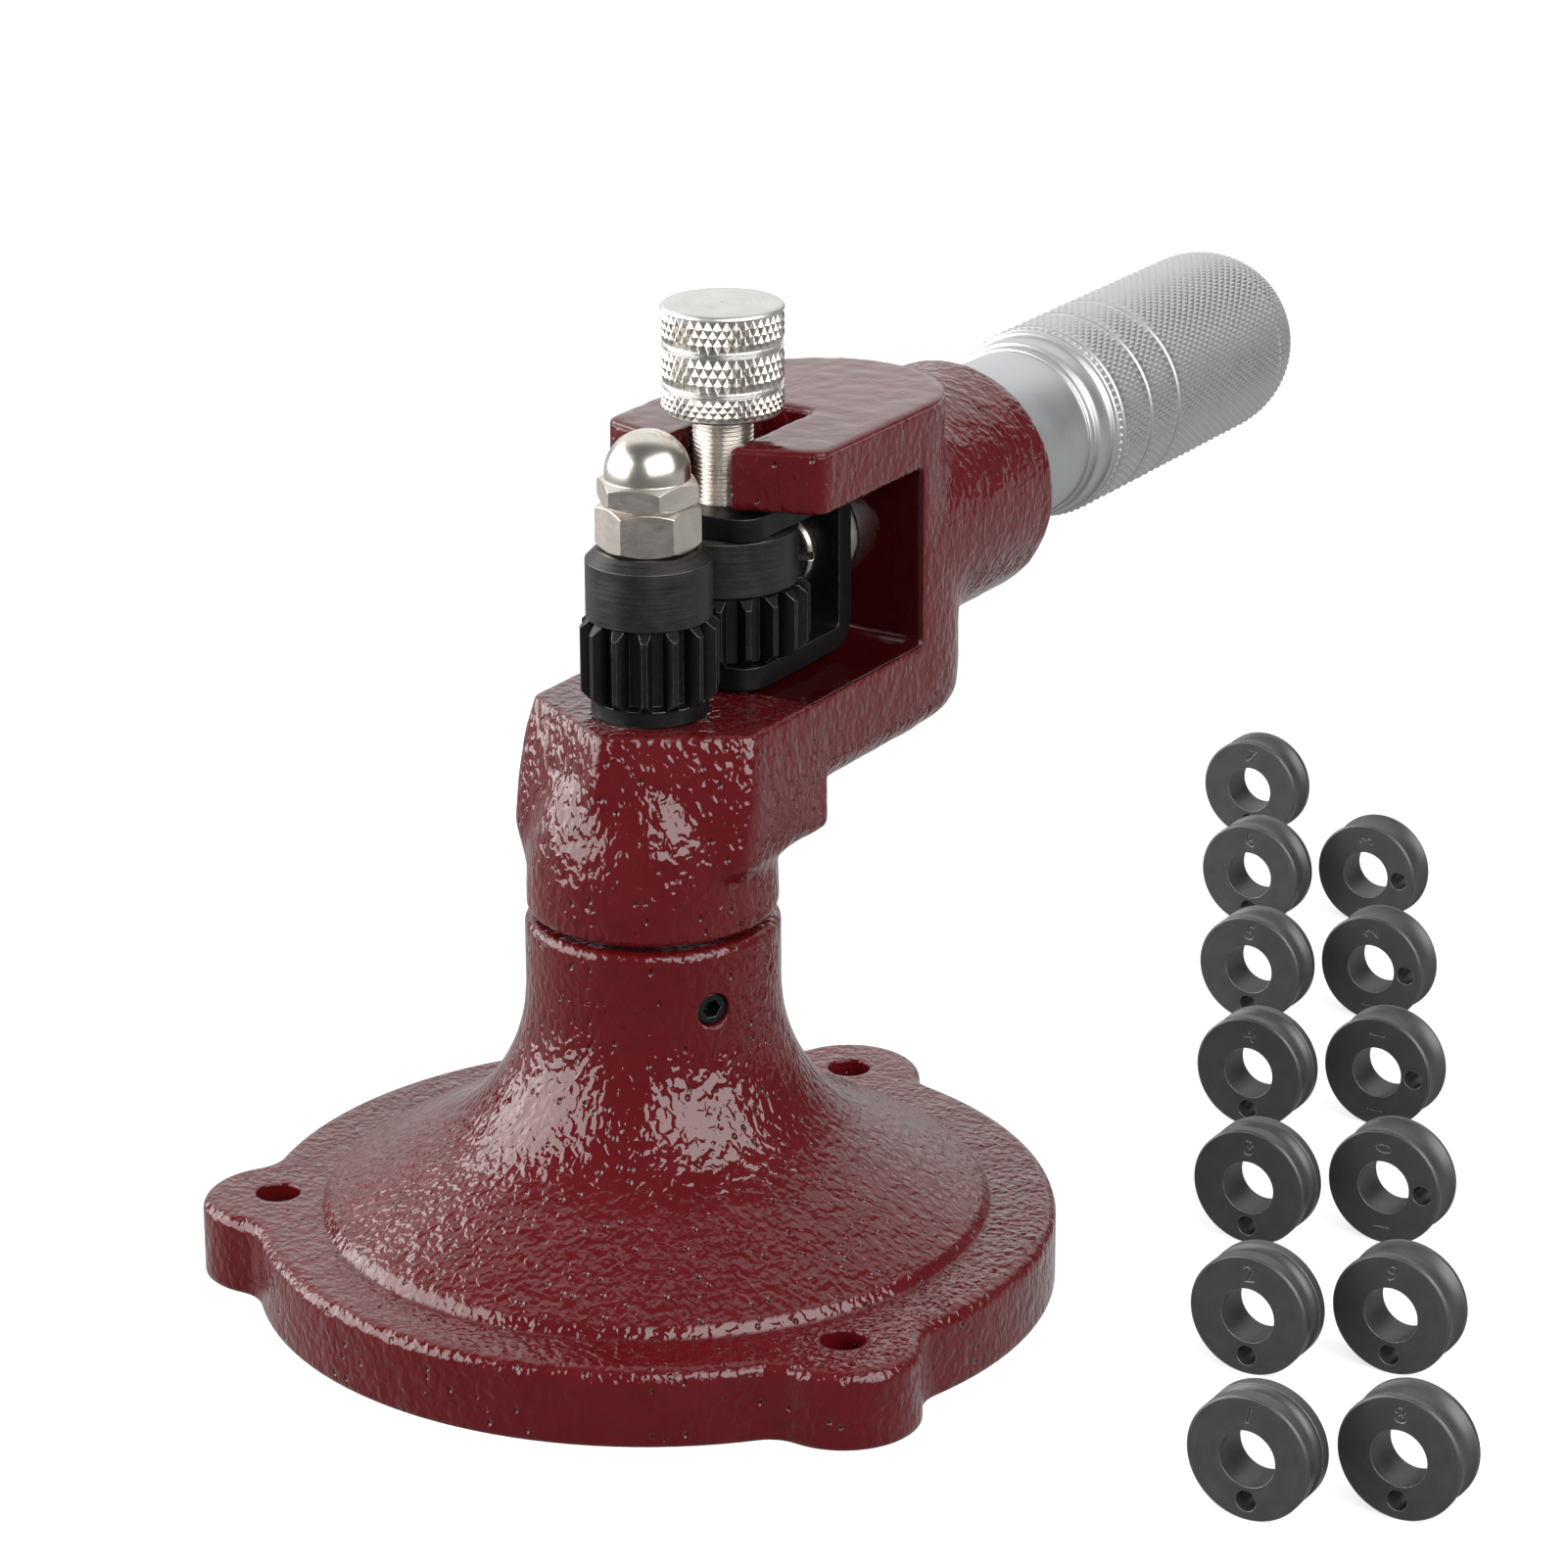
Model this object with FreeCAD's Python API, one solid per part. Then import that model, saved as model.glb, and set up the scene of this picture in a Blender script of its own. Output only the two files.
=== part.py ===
"""Ring stretcher: a hand-worked bench roller that enlarges finger rings.

Frame: millimetres, +Z up, origin on the swivel axis at the underside of the base.
The handle points to +Y and the front roller stands on the Z axis.
"""
import FreeCAD
import Part
import math
import os

Vec = FreeCAD.Vector
X_AXIS = Vec(1, 0, 0)
Y_AXIS = Vec(0, 1, 0)
Z_AXIS = Vec(0, 0, 1)

# Fits and gaps
run_fit = 0.04          # radial clearance of a turning shaft
slide_gap = 0.5         # carriage to casting, above and below
axial_play = 0.05       # shoulder to web on the pressure screw
roller_gap = 0.3        # between the two rollers when the screw is fully in
part_gap = 0.3          # between moving pieces that must not touch
screw_tip_gap = 0.02    # end of a locking screw to what it locks
blind_gap = 0.4         # end of a pin or stud to the bottom of its hole
over = 1.0              # how far a cutter runs past the faces that it cuts

# Broken edges of turned pieces
fine_bevel = 0.4
turned_bevel = 0.5
screw_bevel = 0.8
roller_edge = 0.3
die_edge = 0.25

# Base casting
flange_r = 58.4
flange_t = 11.4
flange_round = 2.0
ear_count = 3
ear_circle_r = 55.5     # bolt circle radius
ear_r = 11.0
ear_blend_r = 6.0
ear_first_deg = -30.0
bolt_hole_r = 3.3
foot_r = 47.7           # where the trumpet meets the flange
foot_step_w = 1.2
foot_z = 13.0
trumpet_slope_deg = 30.0
trumpet_top_z = 46.0
base_neck_r = 18.4
base_neck_top_z = 56.1
base_neck_edge_r = 1.4
base_wall = 6.0
cavity_r = 43.5
cavity_roof_z = 26.0

# Pivot post and its locking screw
post_r = 6.0
post_foot_z = 26.6
journal_r = 4.0         # upper part, M8
journal_past_nut = 4.1  # stud standing up into the acorn nut
set_screw_r = 2.5
set_screw_z = 47.0
set_screw_recess = 0.7
set_screw_socket_af = 2.5
set_screw_socket_depth = 3.0

# Thrust washer and pivot bush
washer_t = 0.8
thrust_play = 0.05      # washer to head casting
washer_r = 15.5
pivot_bush_r = 8.0
pivot_bush_inset = 0.2

# Head casting
casting_edge_r = 0.8
head_half_w = 18.3
head_neck_r = 18.1
head_neck_foot_edge_r = 1.2
head_shoulder_arc_r = 35.0
head_shoulder_low_z = 61.0      # where the neck starts to run in under the flats
head_shoulder_top_z = 79.0
shelf_top_z = 86.2
shelf_t = 15.0
shelf_belly_r = 6.0
shelf_root_y = 10.0     # the shelf bar begins inside the block
block_bottom_z = 66.0
block_edge_r = 2.0
block_rear_y = 18.4
block_apex_top_y = -13.6
block_side_top_y = -2.4
block_apex_low_y = -17.0
block_side_low_y = -7.0
block_flare = 1.5
block_belly_z = 78.0    # where the block is widest
block_belly = 0.9
block_low_edge_r = 1.6
fairing_top_z = 68.0            # fairing under the left corner of the block
fairing_low_z = 57.4
fairing_top_corner = (-19.9, -6.5)
fairing_low_corner = (-17.0, -6.1)
fairing_top_apex_y = -16.7
fairing_rear_top_x = -19.5
fairing_rear_low_x = -13.0
window_h = 26.8
window_rear_y = 45.5
top_plate_t = 9.3
ear_corner_y = 17.5
ear_tip_y = 13.0
ear_corner_r = 2.4
slot_half_w = 5.3
slot_end_y = 36.6
slot_corner_r = 2.0
column_low_y = 51.7     # centre of the rounded back, lower part
column_high_y = 47.0    # centre of the rounded back, at the top plate
column_low_z = 96.0
column_high_z = 106.0
boss_r = 18.5
boss_drop = 1.8         # boss axis below the pressure screw
boss_end_y = 86.0
boss_edge_r = 1.0
window_edge_r = 0.56

# Rollers and gears
gear_module = 1.25
front_teeth = 14
rear_teeth = 18
gear_phase_deg = 2.6
pressure_angle_deg = 20.0
addendum = 1.15
dedendum = 1.50
tooth_thinning = 0.35   # total loss of tooth thickness, gives the backlash
tooth_chamfer = 1.2
front_hub_r = 8.4
front_hub_t = 2.2
front_hub_cone_t = 0.5
front_tooth_len = 11.7
front_roller_r = 9.0
front_roller_t = 10.0
front_roller_chamfer = 1.5
rear_roller_chamfer = 0.5
drive_pin_r = 1.2
drive_pin_hole_r = 1.5
drive_pin_reach = 3.6
front_drive_pin_at = 6.2
front_pin_tooth = 4     # the tooth that the pin stands behind
rear_drive_pin_at = 7.2
key_w = 2.0
key_h = 2.2
key_len = 10.5
key_foot_gap = 1.0      # key to the shelf of the post

# Nuts on the post
nut_af = 13.0
nut_t = 6.5
acorn_af = 13.0
acorn_hex_t = 3.6
acorn_dome_r = 6.1
acorn_neck_t = 0.8
nut_turn_deg = -28.6    # corner directions, as tightened
acorn_turn_deg = -45.0

# Carriage
plate_t = 3.2
web_t = 3.4
carriage_half_w = 10.0
carriage_front_y = 11.0
carriage_corner_r = 4.0
carriage_bend_r = 4.6
carriage_inner_r = 1.2
carriage_retract = 6.0

# Thumbscrew axle
axle_r = 4.0
axle_thread_r = 4.4
axle_pilot_r = 3.0
axle_end_gap = 0.15     # axle shoulders to plates and roller
knob_r = 8.9
knob_gap = 3.0          # knob above the top plate
knob_len = 15.9
knob_edge_r = 1.4
knob_groove_shares = (0.26, 0.63)
knob_groove_w = 0.9
knob_groove_d = 0.5
knob_crown_t = 4.3      # solid metal above the axle's end

# Pressure screw and handle
screw_above_shelf = 14.8
screw_r = 7.0
tenon_r = 4.0
shank_r = 5.0
shank_end_y = 142.0
bush_r = 10.0
bush_front_y = 53.0
retainer_head_r = 6.4
retainer_head_t = 1.9
retainer_shank_r = 2.0
retainer_len = 11.0
retainer_slot_w = 1.2
retainer_slot_d = 0.8
retainer_edge_r = 0.9
retainer_tooth_gap = 1.2    # retaining head to the rear gear's teeth
shank_step_t = 1.0      # shoulder of the screw inside the handle's neck
neck_gap = 1.0
neck_r = 13.2
lip_r = 13.7
lip_y = 108.2
ring_r = 14.5
ring_y = 109.8
grip_r = 15.4
grip_y = 113.3
grip_grooves_y = (115.0, 124.4, 133.9)
grip_groove_w = 1.1
grip_groove_d = 0.55
grip_end_y = 186.2
grub_y = 98.0
grub_r = 2.0
grub_socket_af = 2.0
grub_socket_depth = 2.4

# Spare dies
die_count = 13
die_column_length = 7
die_r = 9.0
die_t = 6.4
die_bore_r = 4.1
die_pin_hole_r = 1.5
die_pin_hole_at = 6.15
die_groove_first_w = 2.4
die_groove_last_w = 5.6
die_groove_depth = 0.95
die_first_x = 109.5     # where the first column of dies begins on the bench
die_first_y = -24.0
die_row_pitch = 43.7
die_column_pitch = 20.0
die_row_deg = 116.2     # direction in which both columns run
die_column_deg = 31.2   # direction from the first column to the second

# Derived places
shelf_bottom_z = shelf_top_z - shelf_t
window_top_z = shelf_top_z + window_h
plate_top_z = window_top_z + top_plate_t
screw_z = shelf_top_z + screw_above_shelf
boss_z = screw_z - boss_drop
gear_distance = gear_module * (front_teeth + rear_teeth) / 2.0
rear_roller_r = gear_distance - front_roller_r - roller_gap
washer_top_z = base_neck_top_z + washer_t
head_bottom_z = washer_top_z + thrust_play
knob_bottom_z = plate_top_z + knob_gap
knob_top_z = knob_bottom_z + knob_len
axle_top_z = knob_top_z - knob_crown_t
gear_seat_z = shelf_top_z + part_gap
front_gear_bottom_z = gear_seat_z + front_hub_t
gear_top_z = front_gear_bottom_z + front_tooth_len
front_roller_top_z = gear_top_z + front_roller_t
carriage_bottom_z = shelf_top_z + 2 * slide_gap
carriage_top_z = window_top_z - slide_gap
plate_low_z = carriage_bottom_z + plate_t
plate_high_z = carriage_top_z - plate_t
rear_gear_bottom_z = plate_low_z + part_gap
rear_roller_top_z = plate_high_z - part_gap
web_inner_y = gear_distance + gear_module * rear_teeth / 2.0 + addendum + retainer_head_t + retainer_tooth_gap
web_outer_y = web_inner_y + web_t
nut_top_z = front_roller_top_z + nut_t
journal_top_z = nut_top_z + journal_past_nut
neck_start_y = boss_end_y + neck_gap


def ring_wall(outer_r, inner_r, low_z, high_z, at=Vec(0, 0, 0)):
    """Hollow cylinder standing along Z."""
    outer = Part.makeCylinder(outer_r, high_z - low_z, at + Vec(0, 0, low_z))
    inner = Part.makeCylinder(inner_r, high_z - low_z, at + Vec(0, 0, low_z))
    return outer.cut(inner)


def bore_z(radius, low_z, high_z, at=Vec(0, 0, 0)):
    return Part.makeCylinder(radius, high_z - low_z, at + Vec(0, 0, low_z))


def bore_y(radius, low_y, high_y, z):
    return Part.makeCylinder(radius, high_y - low_y, Vec(0, low_y, z), Y_AXIS)


def turned_z(profile, at=Vec(0, 0, 0)):
    """Solid of revolution about a vertical axis from (radius, z) corners."""
    corners = [at + Vec(r, 0, z) for r, z in profile]
    face = Part.Face(Part.makePolygon(corners + [corners[0]]))
    return face.revolve(at, Z_AXIS, 360)


def turned_y(profile, z):
    """Solid of revolution about a line along Y from (radius, y) corners."""
    corners = [Vec(r, y, z) for r, y in profile]
    face = Part.Face(Part.makePolygon(corners + [corners[0]]))
    return face.revolve(Vec(0, 0, z), Y_AXIS, 360)


def prism(corners, low_z, high_z):
    """Vertical prism over a polygon of (x, y) corners."""
    points = [Vec(x, y, low_z) for x, y in corners]
    face = Part.Face(Part.makePolygon(points + [points[0]]))
    return face.extrude(Vec(0, 0, high_z - low_z))


def box(x_range, y_range, z_range):
    size = [high - low for low, high in (x_range, y_range, z_range)]
    return Part.makeBox(*size, Vec(x_range[0], y_range[0], z_range[0]))


def edges_where(shape, test):
    """Edges whose middle point passes the test."""
    found = []
    for edge in shape.Edges:
        middle = edge.valueAt((edge.FirstParameter + edge.LastParameter) / 2.0)
        if test(middle, edge):
            found.append(edge)
    return found


def polar(radius, degrees, z=0.0):
    angle = math.radians(degrees)
    return Vec(radius * math.cos(angle), radius * math.sin(angle), z)


def hexagon(across_flats, corner_deg):
    radius = across_flats / math.sqrt(3.0)
    corners = [polar(radius, corner_deg + 60 * i) for i in range(6)]
    return [(c.x, c.y) for c in corners]


def hex_prism(across_flats, corner_deg, low_z, high_z, low_bevel, high_bevel):
    """Hexagon whose corners are turned off at 30 degrees at either end."""
    corner_r = across_flats / math.sqrt(3.0)
    flat_r = across_flats / 2.0
    drop = (corner_r - flat_r * 0.96) * math.tan(math.radians(30))
    blank = [(0, low_z)]
    blank += [(flat_r * 0.96, low_z), (corner_r, low_z + drop)] if low_bevel else [(corner_r, low_z)]
    blank += [(corner_r, high_z - drop), (flat_r * 0.96, high_z)] if high_bevel else [(corner_r, high_z)]
    blank += [(0, high_z)]
    return prism(hexagon(across_flats, corner_deg), low_z, high_z).common(turned_z(blank))


# ---- base ------------------------------------------------------------------

def flange_plan():
    """Outline of the round flange with blended bolt ears."""
    blend_at = flange_r + ear_blend_r
    reach = ear_r + ear_blend_r
    cosine = (blend_at ** 2 + ear_circle_r ** 2 - reach ** 2) / (2 * blend_at * ear_circle_r)
    spread = math.degrees(math.acos(cosine))
    pitch = 360.0 / ear_count
    edges = []
    for i in range(ear_count):
        middle = ear_first_deg + pitch * i
        ear = polar(ear_circle_r, middle)
        joints = []
        for side in (-1, 1):
            centre = polar(blend_at, middle + side * spread)
            on_rim = polar(flange_r, middle + side * spread)
            on_ear = ear + (centre - ear) * (ear_r / reach)
            inward = (on_rim + on_ear) * 0.5 - centre
            waist = centre + inward * (ear_blend_r / inward.Length)
            joints.append((on_rim, waist, on_ear))
        (rim_a, waist_a, ear_a), (rim_b, waist_b, ear_b) = joints
        edges.append(Part.Arc(rim_a, waist_a, ear_a).toShape())
        edges.append(Part.Arc(ear_a, polar(ear_circle_r + ear_r, middle), ear_b).toShape())
        edges.append(Part.Arc(ear_b, waist_b, rim_b).toShape())
        rim_middle = polar(flange_r, middle + pitch / 2.0)
        next_rim = polar(flange_r, middle + pitch - spread)
        edges.append(Part.Arc(rim_b, rim_middle, next_rim).toShape())
    return Part.Wire(edges)


def trumpet_arc_r():
    """Radius of the arc that runs from the neck into the sloping foot."""
    turn = math.radians(90 - trumpet_slope_deg)
    slope = math.tan(math.radians(trumpet_slope_deg))
    rise = foot_z - trumpet_top_z + slope * (foot_r - base_neck_r)
    return rise / (slope * (1 - math.cos(turn)) - math.sin(turn))


def trumpet():
    radius = trumpet_arc_r()
    centre_r = base_neck_r + radius
    turn = math.radians(90 - trumpet_slope_deg)

    def on_arc(angle, r):
        return Vec(centre_r - r * math.cos(angle), 0, trumpet_top_z - r * math.sin(angle))

    top = on_arc(0, radius)
    low = on_arc(turn, radius)
    corners = [Vec(foot_r, 0, foot_z), Vec(foot_r + foot_step_w, 0, flange_t)]
    corners += [Vec(foot_r + foot_step_w, 0, 0), Vec(0, 0, 0)]
    corners += [Vec(0, 0, base_neck_top_z), Vec(base_neck_r, 0, base_neck_top_z), top]
    arc = Part.Arc(top, on_arc(turn / 2, radius), low).toShape()
    wire = Part.Wire([arc] + Part.makePolygon([low] + corners).Edges)
    outside = Part.Face(wire).revolve(Vec(0, 0, 0), Z_AXIS, 360)

    inner = radius + base_wall
    start = on_arc(turn, inner)
    roof_angle = math.asin((trumpet_top_z - cavity_roof_z) / inner)
    roof = on_arc(roof_angle, inner)
    drop = (cavity_r - start.x) * math.tan(math.radians(trumpet_slope_deg))
    corners = [Vec(cavity_r, 0, start.z - drop), Vec(cavity_r, 0, -over), Vec(0, 0, -over)]
    corners += [Vec(0, 0, cavity_roof_z), roof]
    arc = Part.Arc(roof, on_arc((roof_angle + turn) / 2, inner), start).toShape()
    wire = Part.Wire([arc] + Part.makePolygon([start] + corners).Edges)
    hollow = Part.Face(wire).revolve(Vec(0, 0, 0), Z_AXIS, 360)
    return outside, hollow


def set_screw_axis():
    return polar(1, ear_first_deg)


def make_base_casting():
    flange = Part.Face(flange_plan()).extrude(Vec(0, 0, flange_t))
    top_edges = edges_where(flange, lambda p, e: abs(p.z - flange_t) < 0.01)
    flange = flange.makeFillet(flange_round, top_edges)
    outside, hollow = trumpet()
    body = flange.fuse(outside).removeSplitter()
    neck_edge = edges_where(body, lambda p, e: abs(p.z - base_neck_top_z) < 0.01)
    body = body.makeFillet(base_neck_edge_r, neck_edge)
    body = body.cut(hollow)
    for i in range(ear_count):
        at = polar(ear_circle_r, ear_first_deg + 360.0 / ear_count * i)
        body = body.cut(bore_z(bolt_hole_r, -over, flange_t + over, at))
    body = body.cut(bore_z(post_r, cavity_roof_z - over, base_neck_top_z + over))
    start = Vec(0, 0, set_screw_z)
    tapped = Part.makeCylinder(set_screw_r, base_neck_r + over, start, set_screw_axis())
    return body.cut(tapped)


def make_base_set_screw():
    direction = set_screw_axis()
    length = base_neck_r - set_screw_recess - post_r
    blank = Part.makeCylinder(set_screw_r, length, Vec(0, 0, 0))
    rim = edges_where(blank, lambda p, e: p.z > length - 0.01)
    blank = blank.makeChamfer(fine_bevel, rim)
    socket = prism(hexagon(set_screw_socket_af, 0), length - set_screw_socket_depth, length + over)
    screw = blank.cut(socket)
    screw.Placement = FreeCAD.Placement(
        direction * (post_r + screw_tip_gap) + Vec(0, 0, set_screw_z),
        FreeCAD.Rotation(Z_AXIS, direction))
    return screw


def key_block(low_r, high_r, width):
    """Block of the gear key, lying on the rear side of the post."""
    low_z = gear_seat_z + key_foot_gap
    return box((-width / 2, width / 2), (low_r, high_r), (low_z, low_z + key_len))


def make_pivot_post():
    bevel = screw_bevel
    profile = [(0, post_foot_z), (post_r - bevel, post_foot_z), (post_r, post_foot_z + bevel)]
    profile += [(post_r, gear_seat_z), (journal_r, gear_seat_z)]
    profile += [(journal_r, journal_top_z - bevel), (journal_r - bevel, journal_top_z), (0, journal_top_z)]
    return turned_z(profile).cut(key_block(journal_r - key_h / 2, journal_r + over, key_w))


def make_gear_key():
    seat_r = journal_r - key_h / 2
    return key_block(seat_r, seat_r + key_h, key_w)


def make_thrust_washer():
    return ring_wall(washer_r, post_r + run_fit, base_neck_top_z, washer_top_z)


# ---- gears and rollers -----------------------------------------------------

def involute_point(base_r, radius):
    """Roll angle position of an involute at a radius."""
    roll = math.sqrt(max((radius / base_r) ** 2 - 1, 0))
    return roll - math.atan(roll)


def tooth_outline(teeth):
    """Half-angles of one tooth from root to tip as (radius, half angle)."""
    pitch_r = gear_module * teeth / 2.0
    base_r = pitch_r * math.cos(math.radians(pressure_angle_deg))
    thickness = math.pi * gear_module / 2 - tooth_thinning / 2
    at_pitch = thickness / (2 * pitch_r)
    tip_r = pitch_r + addendum
    root_r = pitch_r - dedendum
    start_r = max(base_r, root_r)
    half = []
    if root_r < base_r:
        half.append((root_r, at_pitch + involute_point(base_r, pitch_r)))
    for step in range(5):
        radius = start_r + (tip_r - start_r) * step / 4.0
        lean = involute_point(base_r, pitch_r) - involute_point(base_r, radius)
        half.append((radius, at_pitch + lean))
    return half


def gear_blank(teeth, low_z, high_z, first_tooth_deg, at):
    """Spur gear with involute flanks and turned-off tooth ends."""
    half = tooth_outline(teeth)
    edges = []
    pitch = 2 * math.pi / teeth
    base = at + Vec(0, 0, low_z)

    def at_angle(radius, angle):
        return base + Vec(radius * math.cos(angle), radius * math.sin(angle), 0)

    root_r = half[0][0]
    tip_r = half[-1][0]
    for i in range(teeth):
        middle = math.radians(first_tooth_deg) + pitch * i
        rising = [at_angle(r, middle - a) for r, a in half]
        falling = [at_angle(r, middle + a) for r, a in reversed(half)]
        for flank in (rising, falling):
            flank_start = 0
            if root_r < half[1][0] and flank is rising:
                edges.append(Part.LineSegment(flank[0], flank[1]).toShape())
                flank_start = 1
            curve = Part.BSplineCurve()
            if flank is rising:
                curve.interpolate(flank[flank_start:])
                edges.append(curve.toShape())
                tip = Part.Arc(rising[-1], at_angle(tip_r, middle), falling[0])
                edges.append(tip.toShape())
            else:
                curve.interpolate(flank[:-1])
                edges.append(curve.toShape())
                edges.append(Part.LineSegment(flank[-2], flank[-1]).toShape())
        next_start = at_angle(root_r, middle + pitch - half[0][1])
        valley = Part.Arc(falling[-1], at_angle(root_r, middle + pitch / 2), next_start)
        edges.append(valley.toShape())
    body = Part.Face(Part.Wire(edges)).extrude(Vec(0, 0, high_z - low_z))
    turned = [(0, low_z), (tip_r - tooth_chamfer, low_z), (tip_r, low_z + tooth_chamfer)]
    turned += [(tip_r, high_z - tooth_chamfer), (tip_r - tooth_chamfer, high_z), (0, high_z)]
    return body.common(turned_z(turned, at))


def roller_blank(radius, bore_r, low_z, high_z, top_chamfer, at):
    profile = [(bore_r, low_z), (radius - roller_edge, low_z), (radius, low_z + roller_edge)]
    profile += [(radius, high_z - top_chamfer), (radius - top_chamfer, high_z), (bore_r, high_z)]
    return turned_z(profile, at)


rear_axis = Vec(0, gear_distance, 0)
front_first_tooth_deg = 90.0 + gear_phase_deg      # a front tooth beside the line to the rear gear
rear_gap_deg = -90.0 - gear_phase_deg * front_teeth / rear_teeth
rear_first_tooth_deg = rear_gap_deg + 180.0 / rear_teeth
front_pin_place = polar(front_drive_pin_at, front_first_tooth_deg + 360.0 / front_teeth * front_pin_tooth)
rear_pin_place = rear_axis + Vec(rear_drive_pin_at, 0, 0)


def make_front_gear():
    teeth = gear_blank(front_teeth, front_gear_bottom_z, gear_top_z, front_first_tooth_deg, Vec(0, 0, 0))
    core_r = gear_module * front_teeth / 2.0 - dedendum
    cone_z = front_gear_bottom_z + front_hub_cone_t
    hub = turned_z([(0, gear_seat_z), (front_hub_r, gear_seat_z), (front_hub_r, front_gear_bottom_z),
                    (core_r, cone_z), (0, cone_z)])
    gear = teeth.fuse(hub).removeSplitter()
    gear = gear.cut(bore_z(journal_r + run_fit, gear_seat_z - over, gear_top_z + over))
    keyway = key_block(0, journal_r + key_h / 2 + run_fit, key_w + run_fit)
    pin_hole = bore_z(drive_pin_r, gear_top_z - drive_pin_reach, gear_top_z + over, front_pin_place)
    return gear.cut(keyway).cut(pin_hole)


def make_front_drive_pin():
    return bore_z(drive_pin_r, gear_top_z - drive_pin_reach, gear_top_z + drive_pin_reach, front_pin_place)


def make_front_roller():
    roller = roller_blank(front_roller_r, journal_r + run_fit, gear_top_z, front_roller_top_z,
                          front_roller_chamfer, Vec(0, 0, 0))
    hole_top_z = gear_top_z + drive_pin_reach + blind_gap
    return roller.cut(bore_z(drive_pin_hole_r, gear_top_z - over, hole_top_z, front_pin_place))


def make_rear_gear():
    gear = gear_blank(rear_teeth, rear_gear_bottom_z, gear_top_z, rear_first_tooth_deg, rear_axis)
    gear = gear.cut(bore_z(axle_r + run_fit, rear_gear_bottom_z - over, gear_top_z + over, rear_axis))
    return gear.cut(bore_z(drive_pin_r, gear_top_z - drive_pin_reach, gear_top_z + over, rear_pin_place))


def make_rear_drive_pin():
    return bore_z(drive_pin_r, gear_top_z - drive_pin_reach, gear_top_z + drive_pin_reach, rear_pin_place)


def make_rear_roller():
    roller = roller_blank(rear_roller_r, axle_r + run_fit, gear_top_z, rear_roller_top_z,
                          rear_roller_chamfer, rear_axis)
    hole_top_z = gear_top_z + drive_pin_reach + blind_gap
    return roller.cut(bore_z(drive_pin_hole_r, gear_top_z - over, hole_top_z, rear_pin_place))


def make_post_hex_nut():
    nut = hex_prism(nut_af, nut_turn_deg, front_roller_top_z, nut_top_z, True, True)
    return nut.cut(bore_z(journal_r + run_fit, front_roller_top_z - over, nut_top_z + over))


def make_acorn_nut():
    hex_top = nut_top_z + acorn_hex_t
    dome_z = hex_top + acorn_neck_t
    hexed = hex_prism(acorn_af, acorn_turn_deg, nut_top_z, hex_top, True, True)
    neck = bore_z(acorn_dome_r, nut_top_z + over, dome_z)
    dome = Part.makeSphere(acorn_dome_r, Vec(0, 0, dome_z))
    dome = dome.common(bore_z(acorn_dome_r + over, dome_z, dome_z + acorn_dome_r + over))
    nut = hexed.fuse([neck, dome]).removeSplitter()
    return nut.cut(bore_z(journal_r + run_fit, nut_top_z - over, journal_top_z + blind_gap))


# ---- head ------------------------------------------------------------------

def block_section(z, half_w, apex_y, side_y, rear_half_w):
    """Pointed plan of the block round the post, at one height."""
    corners = [(-rear_half_w, block_rear_y), (-half_w, side_y), (0, apex_y)]
    corners += [(half_w, side_y), (rear_half_w, block_rear_y)]
    points = [Vec(x, y, z) for x, y in corners]
    return Part.makePolygon(points + [points[0]])


def make_block():
    """Six-sided block that flares towards the neck."""
    share = (block_belly_z - block_bottom_z) / (shelf_top_z - block_bottom_z)
    middle_w = head_half_w + block_flare * (1 - share) + block_belly
    middle_apex_y = block_apex_low_y + (block_apex_top_y - block_apex_low_y) * share - block_belly / 2
    middle_side_y = block_side_low_y + (block_side_top_y - block_side_low_y) * share
    low = block_section(block_bottom_z, head_half_w + block_flare, block_apex_low_y,
                        block_side_low_y, head_half_w)
    middle = block_section(block_belly_z, middle_w, middle_apex_y, middle_side_y, head_half_w)
    high = block_section(shelf_top_z, head_half_w, block_apex_top_y, block_side_top_y, head_half_w)
    block = Part.makeLoft([low, middle, high], True, False)
    upright = edges_where(block, lambda p, e: block_bottom_z + 1 < p.z < shelf_top_z - 1 and p.y < block_rear_y - 1)
    block = block.makeFillet(block_edge_r, upright)
    lower = edges_where(block, lambda p, e: abs(p.z - block_bottom_z) < 0.01 and p.y < block_rear_y - 1)
    return block.makeFillet(block_low_edge_r, lower)


def fairing_section(z, corner, apex_y, rear_x):
    corners = [(rear_x, 0), corner, (0, apex_y), (0, 0)]
    points = [Vec(x, y, z) for x, y in corners]
    return Part.makePolygon(points + [points[0]])


def make_fairing():
    """Metal left under one corner of the block, faired into the neck."""
    low_apex_y = -head_neck_r + casting_edge_r
    sections = [fairing_section(fairing_low_z, fairing_low_corner, low_apex_y, fairing_rear_low_x),
                fairing_section(fairing_top_z, fairing_top_corner, fairing_top_apex_y, fairing_rear_top_x)]
    fairing = Part.makeLoft(sections, True, True)
    corner = edges_where(fairing, lambda p, e: p.x < fairing_low_corner[0] and p.y < fairing_low_corner[1] + 0.1
                         and fairing_low_z + 1 < p.z < fairing_top_z - 1)
    return fairing.makeFillet(block_edge_r, corner)


def shoulder_r(z):
    """Radius of the neck where it runs in under the flats of the block."""
    rise = z - head_shoulder_low_z
    return head_neck_r - head_shoulder_arc_r + math.sqrt(head_shoulder_arc_r ** 2 - rise ** 2)


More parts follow.
